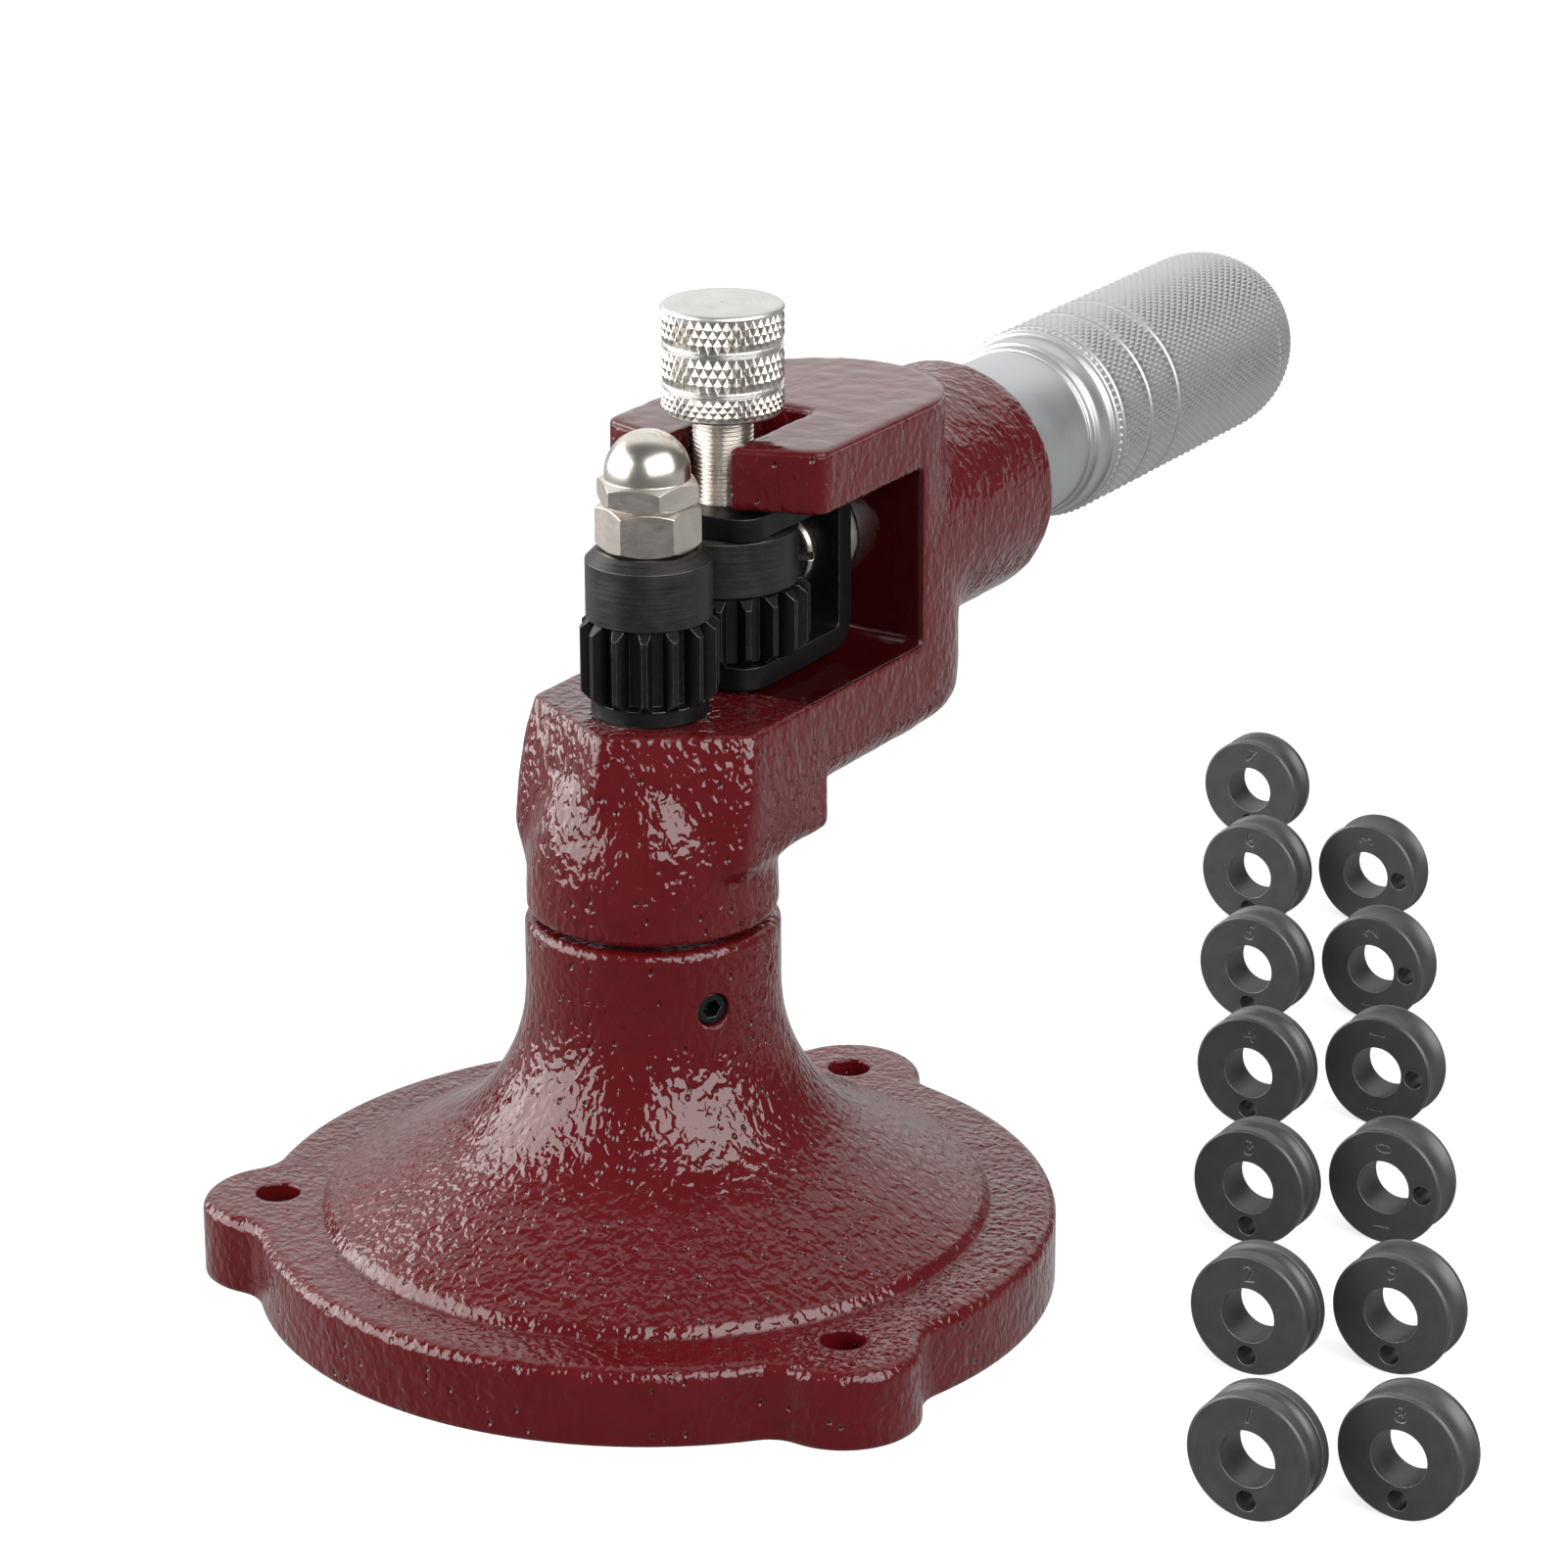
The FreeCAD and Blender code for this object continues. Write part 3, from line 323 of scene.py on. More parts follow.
# small lumps and scattered pits of thick enamel over a sand casting
def makeCastSkin():
    group, start, end = newGroup("castSkin", {"Lump mm": 1.5, "Run": 0.8, "Pit Depth": 0.5},
                                 {"Height": "NodeSocketFloat", "Pits": "NodeSocketFloat"})
    drawn = addNode(group, "ShaderNodeVectorMath", operation="MULTIPLY")
    fillInputs(group, drawn, [start["Vector"], combineXYZ(group, 1.0, 1.0, start["Run"])])
    scale = mathNode(group, "DIVIDE", 1 / mm, start["Lump mm"])
    lumps = noiseNode(group, drawn.outputs[0], skinLook["lumps"], scale)
    swell = noiseNode(group, start["Vector"], skinLook["swell"],
                      mathNode(group, "MULTIPLY", scale, skinLook["swellScale"]))
    dots = addNode(group, "ShaderNodeTexVoronoi", {"Randomness": 1.0})
    join(group, drawn.outputs[0], dots.inputs["Vector"])
    join(group, mathNode(group, "MULTIPLY", scale, skinLook["pitScale"]), dots.inputs["Scale"])
    chance = addNode(group, "ShaderNodeSeparateColor")
    join(group, dots.outputs["Color"], chance.inputs[0])
    pits = mathNode(group, "MULTIPLY", fade(group, dots.outputs["Distance"], *skinLook["pitEdges"]),
                    mathNode(group, "GREATER_THAN", chance.outputs[0], skinLook["pitless"]))
    sunk = mathNode(group, "MULTIPLY", pits, start["Pit Depth"])
    rough = mathNode(group, "MULTIPLY_ADD", swell, skinLook["swellHeight"], lumps)
    join(group, mathNode(group, "SUBTRACT", rough, sunk), end["Height"])
    join(group, pits, end["Pits"])
    return group


lineLook = {
    "aroundScale": 0.0003,      # how little the lines change on their way round
    "lines": {"Detail": 3.0, "Roughness": 0.65},
    "patches": {"Scale": 260.0, "Detail": 4.0, "Roughness": 0.6},
    "patchShare": 0.5,          # of the tone; the lines have the rest
}


# fine lines left by turning round the Z axis
def makeTurnedLines():
    group, start, end = newGroup("turnedLines", {"Lines per mm": 4.0},
                                 {"Height": "NodeSocketFloat", "Tone": "NodeSocketFloat"})
    place = splitXYZ(group, start["Vector"])
    radius = vectorValue(group, "LENGTH", combineXYZ(group, place["X"], place["Y"]))
    around = mathNode(group, "ARCTAN2", place["Y"], place["X"])
    around = mathNode(group, "MULTIPLY", around, lineLook["aroundScale"])
    along = combineXYZ(group, radius, around, place["Z"])
    lines = noiseNode(group, along, lineLook["lines"],
                      mathNode(group, "MULTIPLY", start["Lines per mm"], 1 / mm))
    patches = noiseNode(group, start["Vector"], lineLook["patches"])
    share = lineLook["patchShare"]
    tone = mathNode(group, "MULTIPLY_ADD", lines, 1.0 - share, mathNode(group, "MULTIPLY", patches, share))
    join(group, tone, end["Tone"])
    join(group, lines, end["Height"])
    return group


edgeLook = {
    "samples": 6,
    "bend": (0.995, 0.80),      # cosine of the bend where rubbing starts, and where it is full
    "patches": {"Scale": 700.0, "Detail": 4.0, "Roughness": 0.7},
    "patchEdges": (0.42, 0.62),
}


# broken edges: a softened normal, and a mask that is bright where an edge has been rubbed
def makeWornEdges():
    group, start, end = newGroup("wornEdges", {"Width mm": 0.25, "Patchiness": 0.5},
                                 {"Mask": "NodeSocketFloat", "Soft Normal": "NodeSocketVector"})
    soft = addNode(group, "ShaderNodeBevel", samples=edgeLook["samples"])
    join(group, mathNode(group, "MULTIPLY", start["Width mm"], mm), soft.inputs["Radius"])
    flat = addNode(group, "ShaderNodeNewGeometry").outputs["Normal"]
    bend = vectorValue(group, "DOT_PRODUCT", soft.outputs[0], flat)
    edge = fade(group, bend, *edgeLook["bend"], smooth=False)
    patches = noiseNode(group, start["Vector"], edgeLook["patches"])
    cut = fade(group, patches, *edgeLook["patchEdges"], smooth=False)
    keep = mathNode(group, "SUBTRACT", 1.0, start["Patchiness"])
    left = mathNode(group, "MULTIPLY_ADD", cut, start["Patchiness"], keep)
    join(group, mathNode(group, "MULTIPLY", edge, left, clamp=True), end["Mask"])
    join(group, soft.outputs[0], end["Soft Normal"])
    return group


grainLook = {
    "grain": {"Detail": 2.0},
    "clouds": {"Scale": 140.0, "Detail": 3.0},
}


# even grain of a blasted or satin surface, and slow clouds of tone
def makeFineGrain():
    group, start, end = newGroup("fineGrain", {"Grain mm": 0.15},
                                 {"Height": "NodeSocketFloat", "Tone": "NodeSocketFloat"})
    scale = mathNode(group, "DIVIDE", 1 / mm, start["Grain mm"])
    join(group, noiseNode(group, start["Vector"], grainLook["grain"], scale), end["Height"])
    join(group, noiseNode(group, start["Vector"], grainLook["clouds"]), end["Tone"])
    return group


castSkin = makeCastSkin()
turnedLines = makeTurnedLines()
wornEdges = makeWornEdges()
fineGrain = makeFineGrain()


# materials

# a colour mixed from two by a mask; each is an RGB tuple or another output
def mixColour(tree, mask, first, second):
    mix = addNode(tree, "ShaderNodeMix", data_type="RGBA")
    for socket, value in (("A", first), ("B", second)):
        spot = [s for s in mix.inputs if s.name == socket and s.type == "RGBA"][0]
        if isinstance(value, tuple):
            spot.default_value = (*value, 1.0)
        else:
            join(tree, value, spot)
    join(tree, mask, mix.inputs["Factor"])
    return [s for s in mix.outputs if s.type == "RGBA"][0]


# the distance is the bump's full height in mm
def addBump(tree, shader, height, distance, softNormal):
    bump = addNode(tree, "ShaderNodeBump", {"Strength": 1.0, "Distance": distance * mm})
    join(tree, height, bump.inputs["Height"])
    join(tree, softNormal, bump.inputs["Normal"])
    join(tree, bump.outputs[0], shader.inputs["Normal"])


enamel = {
    "colour": (0.078, 0.0034, 0.0050),
    "thinColour": (0.086, 0.0050, 0.0070),
    "thinTone": (0.35, 0.7),        # tone of the clouds where the paint starts to thin, and where it is thin
    # painted shade: the pits are coloured this darker red, standing in for the shade that falls in them
    "pitShadeColour": (0.036, 0.0015, 0.0022),
    # painted shade: the faces inside the window get this darker red in place of the shade that falls in the
    # recess
    "windowShadeColour": (0.030, 0.0018, 0.0026),
    # the faces inside the window: their half width, and where they run along Y and Z, in mm
    "windowHalf": 18.2,
    "windowFade": 0.2,
    "windowY": (14.0, 45.9),
    "windowZ": (85.9, 113.3),
    "plateTop": 121.8,
    "plateFade": 0.4,
    "smoothShare": 0.12,            # of the height of the lumps, where a face was filled and rubbed down
    "chipColour": (0.20, 0.18, 0.18),
    "chipEdge": (0.86, 0.95),       # how worn an edge is where chips begin, and where they are full
    "chipGrain": (0.60, 0.66),      # the same for the grain that breaks them up
    "roughness": (0.05, 0.09),
    "roughTone": (0.3, 0.7),
    "grain": 0.3,                   # mm
    "lump": 1.2,                    # mm from lump to lump
    "run": 0.75,                    # under 1 the lumps are drawn out along Z
    "height": 0.35,                 # mm
    "pitDepth": 0.65,               # of the height
    "edgeRadius": 0.8,              # mm
    "patchiness": 1.0,
}


# 1 on the faces inside the window, and 1 on the top plate
def headMasks(tree, place):
    spot = splitXYZ(tree, place)
    half = enamel["windowHalf"] * mm
    across = mathNode(tree, "ABSOLUTE", spot["X"])
    window = fade(tree, across, half, half - enamel["windowFade"] * mm)
    for axis, (low, high) in (("Y", enamel["windowY"]), ("Z", enamel["windowZ"])):
        above = mathNode(tree, "GREATER_THAN", spot[axis], low * mm)
        below = mathNode(tree, "LESS_THAN", spot[axis], high * mm)
        window = mathNode(tree, "MULTIPLY", window, mathNode(tree, "MULTIPLY", above, below))
    plate = enamel["plateTop"]
    return window, fade(tree, spot["Z"], (plate - enamel["plateFade"]) * mm, plate * mm)


def makeEnamel(name, isHead=False):
    material, tree, shader = startMaterial(name)
    place = addNode(tree, "ShaderNodeTexCoord").outputs["Object"]
    skin = useGroup(tree, castSkin, place, {"Lump mm": enamel["lump"], "Run": enamel["run"],
                                            "Pit Depth": enamel["pitDepth"]})
    worn = useGroup(tree, wornEdges, place, {"Width mm": enamel["edgeRadius"],
                                             "Patchiness": enamel["patchiness"]})
    grain = useGroup(tree, fineGrain, place, {"Grain mm": enamel["grain"]})
    thin = fade(tree, grain["Tone"], *enamel["thinTone"])
    body = mixColour(tree, thin, enamel["colour"], enamel["thinColour"])
    # painted shade: the pits are darkened with the pit shade colour
    body = mixColour(tree, skin["Pits"], body, enamel["pitShadeColour"])
    height = skin["Height"]
    if isHead:
        window, top = headMasks(tree, place)
        # painted shade: the faces inside the window are darkened
        body = mixColour(tree, window, body, enamel["windowShadeColour"])
        smooth = mathNode(tree, "MAXIMUM", window, top)
        share = mathNode(tree, "MULTIPLY_ADD", smooth, enamel["smoothShare"] - 1.0, 1.0)
        height = mathNode(tree, "MULTIPLY", height, share)
    chips = mathNode(tree, "MULTIPLY", fade(tree, worn["Mask"], *enamel["chipEdge"]),
                     fade(tree, grain["Height"], *enamel["chipGrain"]))
    join(tree, mixColour(tree, chips, body, enamel["chipColour"]), shader.inputs["Base Color"])
    roughness = fade(tree, grain["Tone"], *enamel["roughTone"], *enamel["roughness"])
    join(tree, roughness, shader.inputs["Roughness"])
    addBump(tree, shader, height, enamel["height"], worn["Soft Normal"])
    return material


# what every metal has unless it says otherwise
plainMetal = {
    "metallic": 1.0,
    "shade": 0.75,              # of the colour, in the valleys of the turned lines
    "tone": (0.3, 0.7),
    "grain": 0.12,              # mm
    "grainHeight": 0.5,         # of the lines' height
    # painted shade: a knurl's valleys are darkened with its valley shade colour, and its points are made
    # lighter
    "valleyEdges": (0.45, 0.0),     # of the way up a knurl's point
    "tipEdges": (0.6, 1.0),
}
metals = {
    "blackOxide": {"colour": (0.058, 0.053, 0.051), "worn": (0.34, 0.32, 0.31), "metallic": 0.8,
                   "roughness": (0.32, 0.50), "lines": 3.0, "depth": 0.03, "edge": 0.2,
                   "patchiness": 0.6, "shade": 0.45},
    "blackGear": {"colour": (0.024, 0.024, 0.026), "worn": (0.26, 0.26, 0.26), "metallic": 0.8,
                  "roughness": (0.30, 0.44), "lines": 3.0, "depth": 0.006, "edge": 0.18,
                  "patchiness": 0.6},
    "blackBracket": {"colour": (0.013, 0.013, 0.015), "worn": (0.14, 0.14, 0.14), "metallic": 0.7,
                     "roughness": (0.30, 0.45), "lines": 2.0, "depth": 0.004, "edge": 0.25,
                     "patchiness": 0.7},
    "hexNickel": {"colour": (0.76, 0.70, 0.63), "worn": (0.95, 0.93, 0.90),
                  "roughness": (0.28, 0.38), "lines": 3.0, "depth": 0.003, "edge": 0.22,
                  "patchiness": 0.3},
    "domeNickel": {"colour": (0.78, 0.73, 0.66), "worn": (0.95, 0.93, 0.90),
                   "roughness": (0.28, 0.38), "lines": 3.0, "depth": 0.002, "edge": 0.22,
                   "patchiness": 0.3,
                   "polished": (0.1206, 0.26)},      # height where the dome begins, and its roughness
    "brightNickel": {"colour": (0.74, 0.68, 0.61), "worn": (0.95, 0.93, 0.90),
                     "roughness": (0.22, 0.34), "lines": 3.0, "depth": 0.003, "edge": 0.22,
                     "patchiness": 0.2},
    "plainSteel": {"colour": (0.82, 0.82, 0.82), "worn": (0.9, 0.9, 0.9),
                   "roughness": (0.50, 0.62), "lines": 5.0, "depth": 0.004, "edge": 0.2,
                   "patchiness": 0.5},
    "oiledSteel": {"colour": (0.10, 0.10, 0.105), "worn": (0.4, 0.4, 0.4),
                   "roughness": (0.28, 0.42), "lines": 4.0, "depth": 0.004, "edge": 0.2,
                   "patchiness": 0.5},
    "bronze": {"colour": (0.55, 0.36, 0.16), "worn": (0.8, 0.58, 0.3),
               "roughness": (0.26, 0.42), "lines": 5.0, "depth": 0.004, "edge": 0.2,
               "patchiness": 0.5},
    "dieSteel": {"colour": (0.105, 0.105, 0.107), "worn": (0.42, 0.42, 0.42), "metallic": 0.75,
                 "roughness": (0.40, 0.54), "lines": 5.0, "depth": 0.010, "edge": 0.16,
                 "patchiness": 0.5},
    "satinAluminium": {"colour": (0.56, 0.565, 0.575), "worn": (0.95, 0.95, 0.96),
                       "roughness": (0.40, 0.48), "lines": 6.0, "depth": 0.002, "edge": 0.18,
                       "patchiness": 0.1, "shade": 0.95,
                       # painted shade in the knurl's valleys, and a lighter colour on its points
                       "valley": (0.45, 0.455, 0.46), "tip": (0.93, 0.94, 0.96)},
    "knurledNickel": {"colour": (0.73, 0.71, 0.68), "worn": (0.97, 0.95, 0.92),
                      "roughness": (0.22, 0.32), "lines": 3.0, "depth": 0.002, "edge": 0.18,
                      "patchiness": 0.1,
                      # painted shade in the knurl's valleys, and a lighter colour on its points
                      "valley": (0.45, 0.38, 0.28), "tip": (0.92, 0.89, 0.85),
                      "polished": (0.14036, 0.42)},  # height where the plain cap begins, and its roughness
}


# turned metal whose lines run round the piece's own axis
def makeMetal(name, kind, shift=(0, 0, 0), turn=(0, 0, 0), attribute=None):
    look = {**plainMetal, **metals[kind]}
    material, tree, shader = startMaterial(name)
    if attribute:
        source = addNode(tree, "ShaderNodeAttribute", attribute_name=attribute).outputs["Vector"]
    else:
        source = addNode(tree, "ShaderNodeTexCoord").outputs["Object"]
    centre = addNode(tree, "ShaderNodeMapping", {"Location": shift, "Rotation": turn})
    join(tree, source, centre.inputs["Vector"])
    place = centre.outputs[0]
    turned = useGroup(tree, turnedLines, place, {"Lines per mm": look["lines"]})
    grain = useGroup(tree, fineGrain, place, {"Grain mm": look["grain"]})
    worn = useGroup(tree, wornEdges, place, {"Width mm": look["edge"], "Patchiness": look["patchiness"]})
    shade = tuple(channel * look["shade"] for channel in look["colour"])
    body = mixColour(tree, fade(tree, turned["Tone"], *look["tone"], smooth=False), shade, look["colour"])
    # painted shade: knurl valleys darkened, knurl points lightened
    if "tip" in look:
        knurl = addNode(tree, "ShaderNodeAttribute", attribute_name="knurl").outputs["Fac"]
        body = mixColour(tree, fade(tree, knurl, *look["valleyEdges"]), body, look["valley"])
        body = mixColour(tree, fade(tree, knurl, *look["tipEdges"]), body, look["tip"])
    join(tree, mixColour(tree, worn["Mask"], body, look["worn"]), shader.inputs["Base Color"])
    roughness = fade(tree, turned["Tone"], *look["tone"], *look["roughness"])
    if "polished" in look:
        height, other = look["polished"]
        above = mathNode(tree, "GREATER_THAN", splitXYZ(tree, source)["Z"], height)
        lower = mathNode(tree, "MULTIPLY", roughness, mathNode(tree, "SUBTRACT", 1.0, above))
        roughness = mathNode(tree, "MULTIPLY_ADD", above, other, lower)
    join(tree, roughness, shader.inputs["Roughness"])
    shader.inputs["Metallic"].default_value = look["metallic"]
    both = mathNode(tree, "MULTIPLY_ADD", grain["Height"], look["grainHeight"], turned["Height"])
    addBump(tree, shader, both, look["depth"], worn["Soft Normal"])
    return material


frontAxis = {}
rearAxis = {"shift": (0, -rearY * mm, 0)}
screwAxis = {"shift": (0, screwZ * mm, 0), "turn": (math.pi / 2, 0, 0)}
dieAxis = {"turn": (math.pi / 2, 0, 0), "attribute": "fromCentre"}

# each node's own material: its name, its metal and the axis that it was turned round
metalParts = {
    "base_set_screw": ("setScrewBlack", "blackGear", frontAxis),
    "pivot_post": ("postSteel", "plainSteel", frontAxis),
    "thrust_washer": ("washerSteel", "oiledSteel", frontAxis),
    "gear_key": ("keySteel", "plainSteel", frontAxis),
    "front_gear": ("frontGearBlack", "blackGear", frontAxis),
    "front_drive_pin": ("frontPinSteel", "plainSteel", frontAxis),
    "front_roller": ("frontRollerBlack", "blackOxide", frontAxis),
    "post_hex_nut": ("hexNutNickel", "hexNickel", frontAxis),
    "acorn_nut": ("acornNickel", "domeNickel", frontAxis),
    "pivot_bush": ("pivotBronze", "bronze", frontAxis),
    "screw_bush": ("screwBronze", "bronze", screwAxis),
    "carriage_bracket": ("bracketBlack", "blackBracket", rearAxis),
    "pressure_screw": ("pressureSteel", "plainSteel", screwAxis),
    "retaining_screw": ("retainingSteel", "brightNickel", screwAxis),
    "handle_grub_screw": ("grubBlack", "blackOxide", frontAxis),
    "rear_gear": ("rearGearBlack", "blackGear", rearAxis),
    "rear_roller": ("rearRollerBlack", "blackOxide", rearAxis),
    "rear_drive_pin": ("rearPinSteel", "plainSteel", rearAxis),
}


def setMaterial(piece, material):
    piece.data.materials.clear()
    piece.data.materials.append(material)


setMaterial(nodes["base_casting"], makeEnamel("baseEnamel"))
setMaterial(nodes["head_casting"], makeEnamel("headEnamel", isHead=True))
for part, (name, kind, axis) in metalParts.items():
    setMaterial(nodes[part], makeMetal(name, kind, **axis))
print("materials ready")


# castings

cast = {
    "grain": 0.62,              # mm, size of the faces
    "passes": 2,
    "softening": 0.5,           # share of the way that each pass moves a corner
    "knuckle": (58.5, 80.0),    # mm, height of the neck and block that run into each other
    "knuckleFade": 8.0,
    "knuckleEnd": 17.0,         # mm along Y
    "boreRadius": 9.0,          # mm, nothing nearer to the post's axis is softened
    "bossStart": 45.9,          # mm along Y
    "bossFade": 2.5,
    "bossEdge": 84.5,
    "bossTop": 119.0,
    "edgeWeight": 0.12,
    "softPasses": 60,
    "lump": 2.6,                # mm
    "lumpHeight": 0.14,
    "lumpMiddle": 0.6,          # the grey of the lumps that leaves a corner where it is
}


# a loose copy of a node with its split corners merged
def copyNode(name, newName):
    piece = nodes[name].copy()
    piece.data = nodes[name].data.copy()
    piece.name = newName
    piece.data.name = newName
    piece.parent = None
    for key in list(piece.keys()):
        del piece[key]
    bpy.context.scene.collection.objects.link(piece)
    weld(piece, nodeWeld)
    bpy.ops.mesh.customdata_custom_splitnormals_clear()
    return piece


def smoothPiece(piece, passes, group=""):
    soften = piece.modifiers.new("soften", "SMOOTH")
    soften.factor = cast["softening"]
    soften.iterations = passes
    soften.vertex_group = group
    bpy.ops.object.modifier_apply(modifier="soften")


# how much a place on the head is softened, from 0 to 1
def softness(spot):
    low, high = cast["knuckle"]
    inside = min(spot.z - low, high - spot.z, cast["knuckleEnd"] - spot.y) / cast["knuckleFade"]
    if inside > 0 and math.hypot(spot.x, spot.y) > cast["boreRadius"]:
        return min(inside, 1.0)
    if spot.y > cast["bossStart"] and spot.z < cast["bossTop"]:
        inside = min((spot.y - cast["bossStart"]) / cast["bossFade"], 1.0)
        return inside if spot.y < cast["bossEdge"] else cast["edgeWeight"]
    return 0.0


# the head as cast: broken edges, low lumps, and the block run softly into the neck
def makeCastHead():
    head = copyNode("head_casting", "head_casting_enamelled")
    head.data.remesh_voxel_size = cast["grain"] * mm
    head.data.remesh_voxel_adaptivity = 0.0
    bpy.ops.object.voxel_remesh()
    smoothPiece(head, cast["passes"])
    soft = head.vertex_groups.new(name="soft")
    for vert in head.data.vertices:
        weight = softness(vert.co / mm)
        if weight > 0:
            soft.add([vert.index], weight, "REPLACE")
    smoothPiece(head, cast["softPasses"], "soft")
    lumps = bpy.data.textures.new("castLumps", "CLOUDS")
    lumps.noise_scale = cast["lump"] * mm
    lumps.noise_depth = 0
    swell = head.modifiers.new("swell", "DISPLACE")
    swell.texture = lumps
    swell.texture_coords = "LOCAL"
    swell.strength = cast["lumpHeight"] * mm
    swell.mid_level = cast["lumpMiddle"]
    bpy.ops.object.modifier_apply(modifier="swell")
    bpy.ops.object.shade_smooth()
    head.vertex_groups.clear()
    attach(head, "head")
    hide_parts("head_casting")
    print("cast head:", len(head.data.polygons), "faces")


makeCastHead()


# turned pieces

zAxisRear = (Vector((0, 0, 1)), Vector((0, rearY * mm, 0)))
yAxisScrew = (Vector((0, 1, 0)), Vector((0, 0, screwZ * mm)))
smoothAngle = math.radians(30)      # an edge that bends less than this looks round
knurling = {
    "inset": 0.01,          # mm from a band's end to its first row of diamonds
    "below": 0.5,           # mm under the roots that still counts as knurled
}


# spins a profile of (radius, along) points in mm round the Z axis or a line along Y
def turnProfile(name, profile, axis, steps):
    direction, centre = axis
    deselectAll()
    bpy.ops.mesh.primitive_plane_add(size=mm, location=(0, 0, 0))
    piece = bpy.context.object
    piece.name = name
    piece.data.name = name
    editMesh()
    bpy.ops.mesh.select_all(action="SELECT")
    bpy.ops.mesh.merge(type="CENTER")
    spots = [centre + Vector((radius * mm, 0, 0)) + direction * along * mm for radius, along in profile]
    bpy.ops.transform.translate(value=spots[0])
    for before, after in zip(spots, spots[1:]):
        bpy.ops.mesh.extrude_region_move(TRANSFORM_OT_translate={"value": after - before})
    bpy.ops.mesh.select_all(action="SELECT")
    bpy.ops.mesh.spin(steps=steps, angle=2 * math.pi, center=centre, axis=direction)
    bpy.ops.mesh.select_all(action="SELECT")
    bpy.ops.mesh.remove_doubles(threshold=pieceWeld)
    bpy.ops.mesh.normals_make_consistent(inside=False)
    bpy.ops.object.mode_set(mode="OBJECT")
    return piece


# turns the grid inside each band into diamonds and raises a point on each;
# a band is (start, end, least radius, point height) in mm
def cutKnurl(piece, axis, bands):
    direction, centre = axis
    pick(piece)
    editMesh("FACE")

    def inBand(face, band):
        low, high, least = band[:3]
        spot = face.calc_center_median() - centre
        along = spot.dot(direction) / mm
        return low < along < high and (spot - direction * spot.dot(direction)).length / mm > least

    selectWhere("faces", lambda face: any(inBand(face, band) for band in bands))
    bpy.ops.mesh.poke(offset=0.0)
    shape = bmesh.from_edit_mesh(piece.data)
    crossing = set()
    for edge in shape.edges:
        if len(edge.link_faces) == 2 and all(face.select for face in edge.link_faces):
            if all(len(vert.link_faces) != 4 for vert in edge.verts):
                crossing.add(edge.index)
    bpy.ops.mesh.select_mode(type="EDGE")
    selectWhere("edges", lambda edge: edge.index in crossing)
    bpy.ops.mesh.dissolve_edges(use_verts=False)
    bpy.ops.mesh.select_mode(type="FACE")
    for band in bands:
        selectWhere("faces", lambda face: len(face.verts) == 4 and inBand(face, band))
        bpy.ops.mesh.poke(offset=band[3] * mm)
    shape = bmesh.from_edit_mesh(piece.data)
    layer = shape.verts.layers.float.new("knurl")     # 1 on a point, 0 in a valley, 0.5 elsewhere
    for vert in shape.verts:
        cut = all(len(face.verts) == 3 for face in vert.link_faces)
        vert[layer] = 0.5 if not cut else 1.0 if len(vert.link_faces) == 4 else 0.0
    bmesh.update_edit_mesh(piece.data)
    bpy.ops.object.mode_set(mode="OBJECT")


def finishPiece(piece, material, body, replaced):
    pick(piece)
    bpy.ops.object.shade_smooth_by_angle(angle=smoothAngle)
    setMaterial(piece, material)
    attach(piece, body)
    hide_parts(replaced)


def rows(start, end, count):
    return [start + (end - start) * step / count for step in range(count + 1)]


# adds the rows of a knurled stretch to the profile and its band to the bands
def addKnurl(profile, bands, look, root, start, end):
    count = max(1, round((end - start) / look["rowPitch"]))
    profile.extend((root, spot) for spot in rows(start, end, count))
    bands.append((start + knurling["inset"], end - knurling["inset"],
                  root - knurling["below"], look["knurlDepth"]))


handle = {
    "columns": 78,
    "neckStart": 87.0,
    "neckRadius": 13.2,
    "neckEdge": ((0.4, 0.0), (0.1, 0.1), (0.0, 0.4)),      # how far in and along its rounded edge runs
    # radius and place of each corner of the beads between neck and grip
    "beads": [(13.2, 106.6), (13.45, 106.7), (13.6, 106.95), (13.6, 107.95), (13.75, 108.1), (14.1, 108.3),
              (14.25, 108.6), (14.3, 109.0), (14.35, 111.7), (14.5, 111.9), (14.85, 112.1), (15.0, 112.4),
              (15.0, 112.9), (14.9, 113.15)],
    "gripRadius": 15.4,
    "gripStart": 113.3,
    "grooves": (115.0, 124.4, 133.9),
    "grooveWidth": 0.6,
    "grooveDepth": 0.6,
    "grooveFloor": 0.08,        # half width
    "end": 186.2,
    "knurlDepth": 0.30,
    "rowPitch": 2.1,
    "shankRadius": 5.0,
    "boreEnd": 143.0,
    "screwClearance": 7.05,
    "counterbore": 1.0,
    # degrees round the dome where a band ends, and its share of the depth
    "domeBands": ((30, 0.85), (52, 0.55), (66, 0.3), (76, 0.12)),
    "capRows": 5,
}


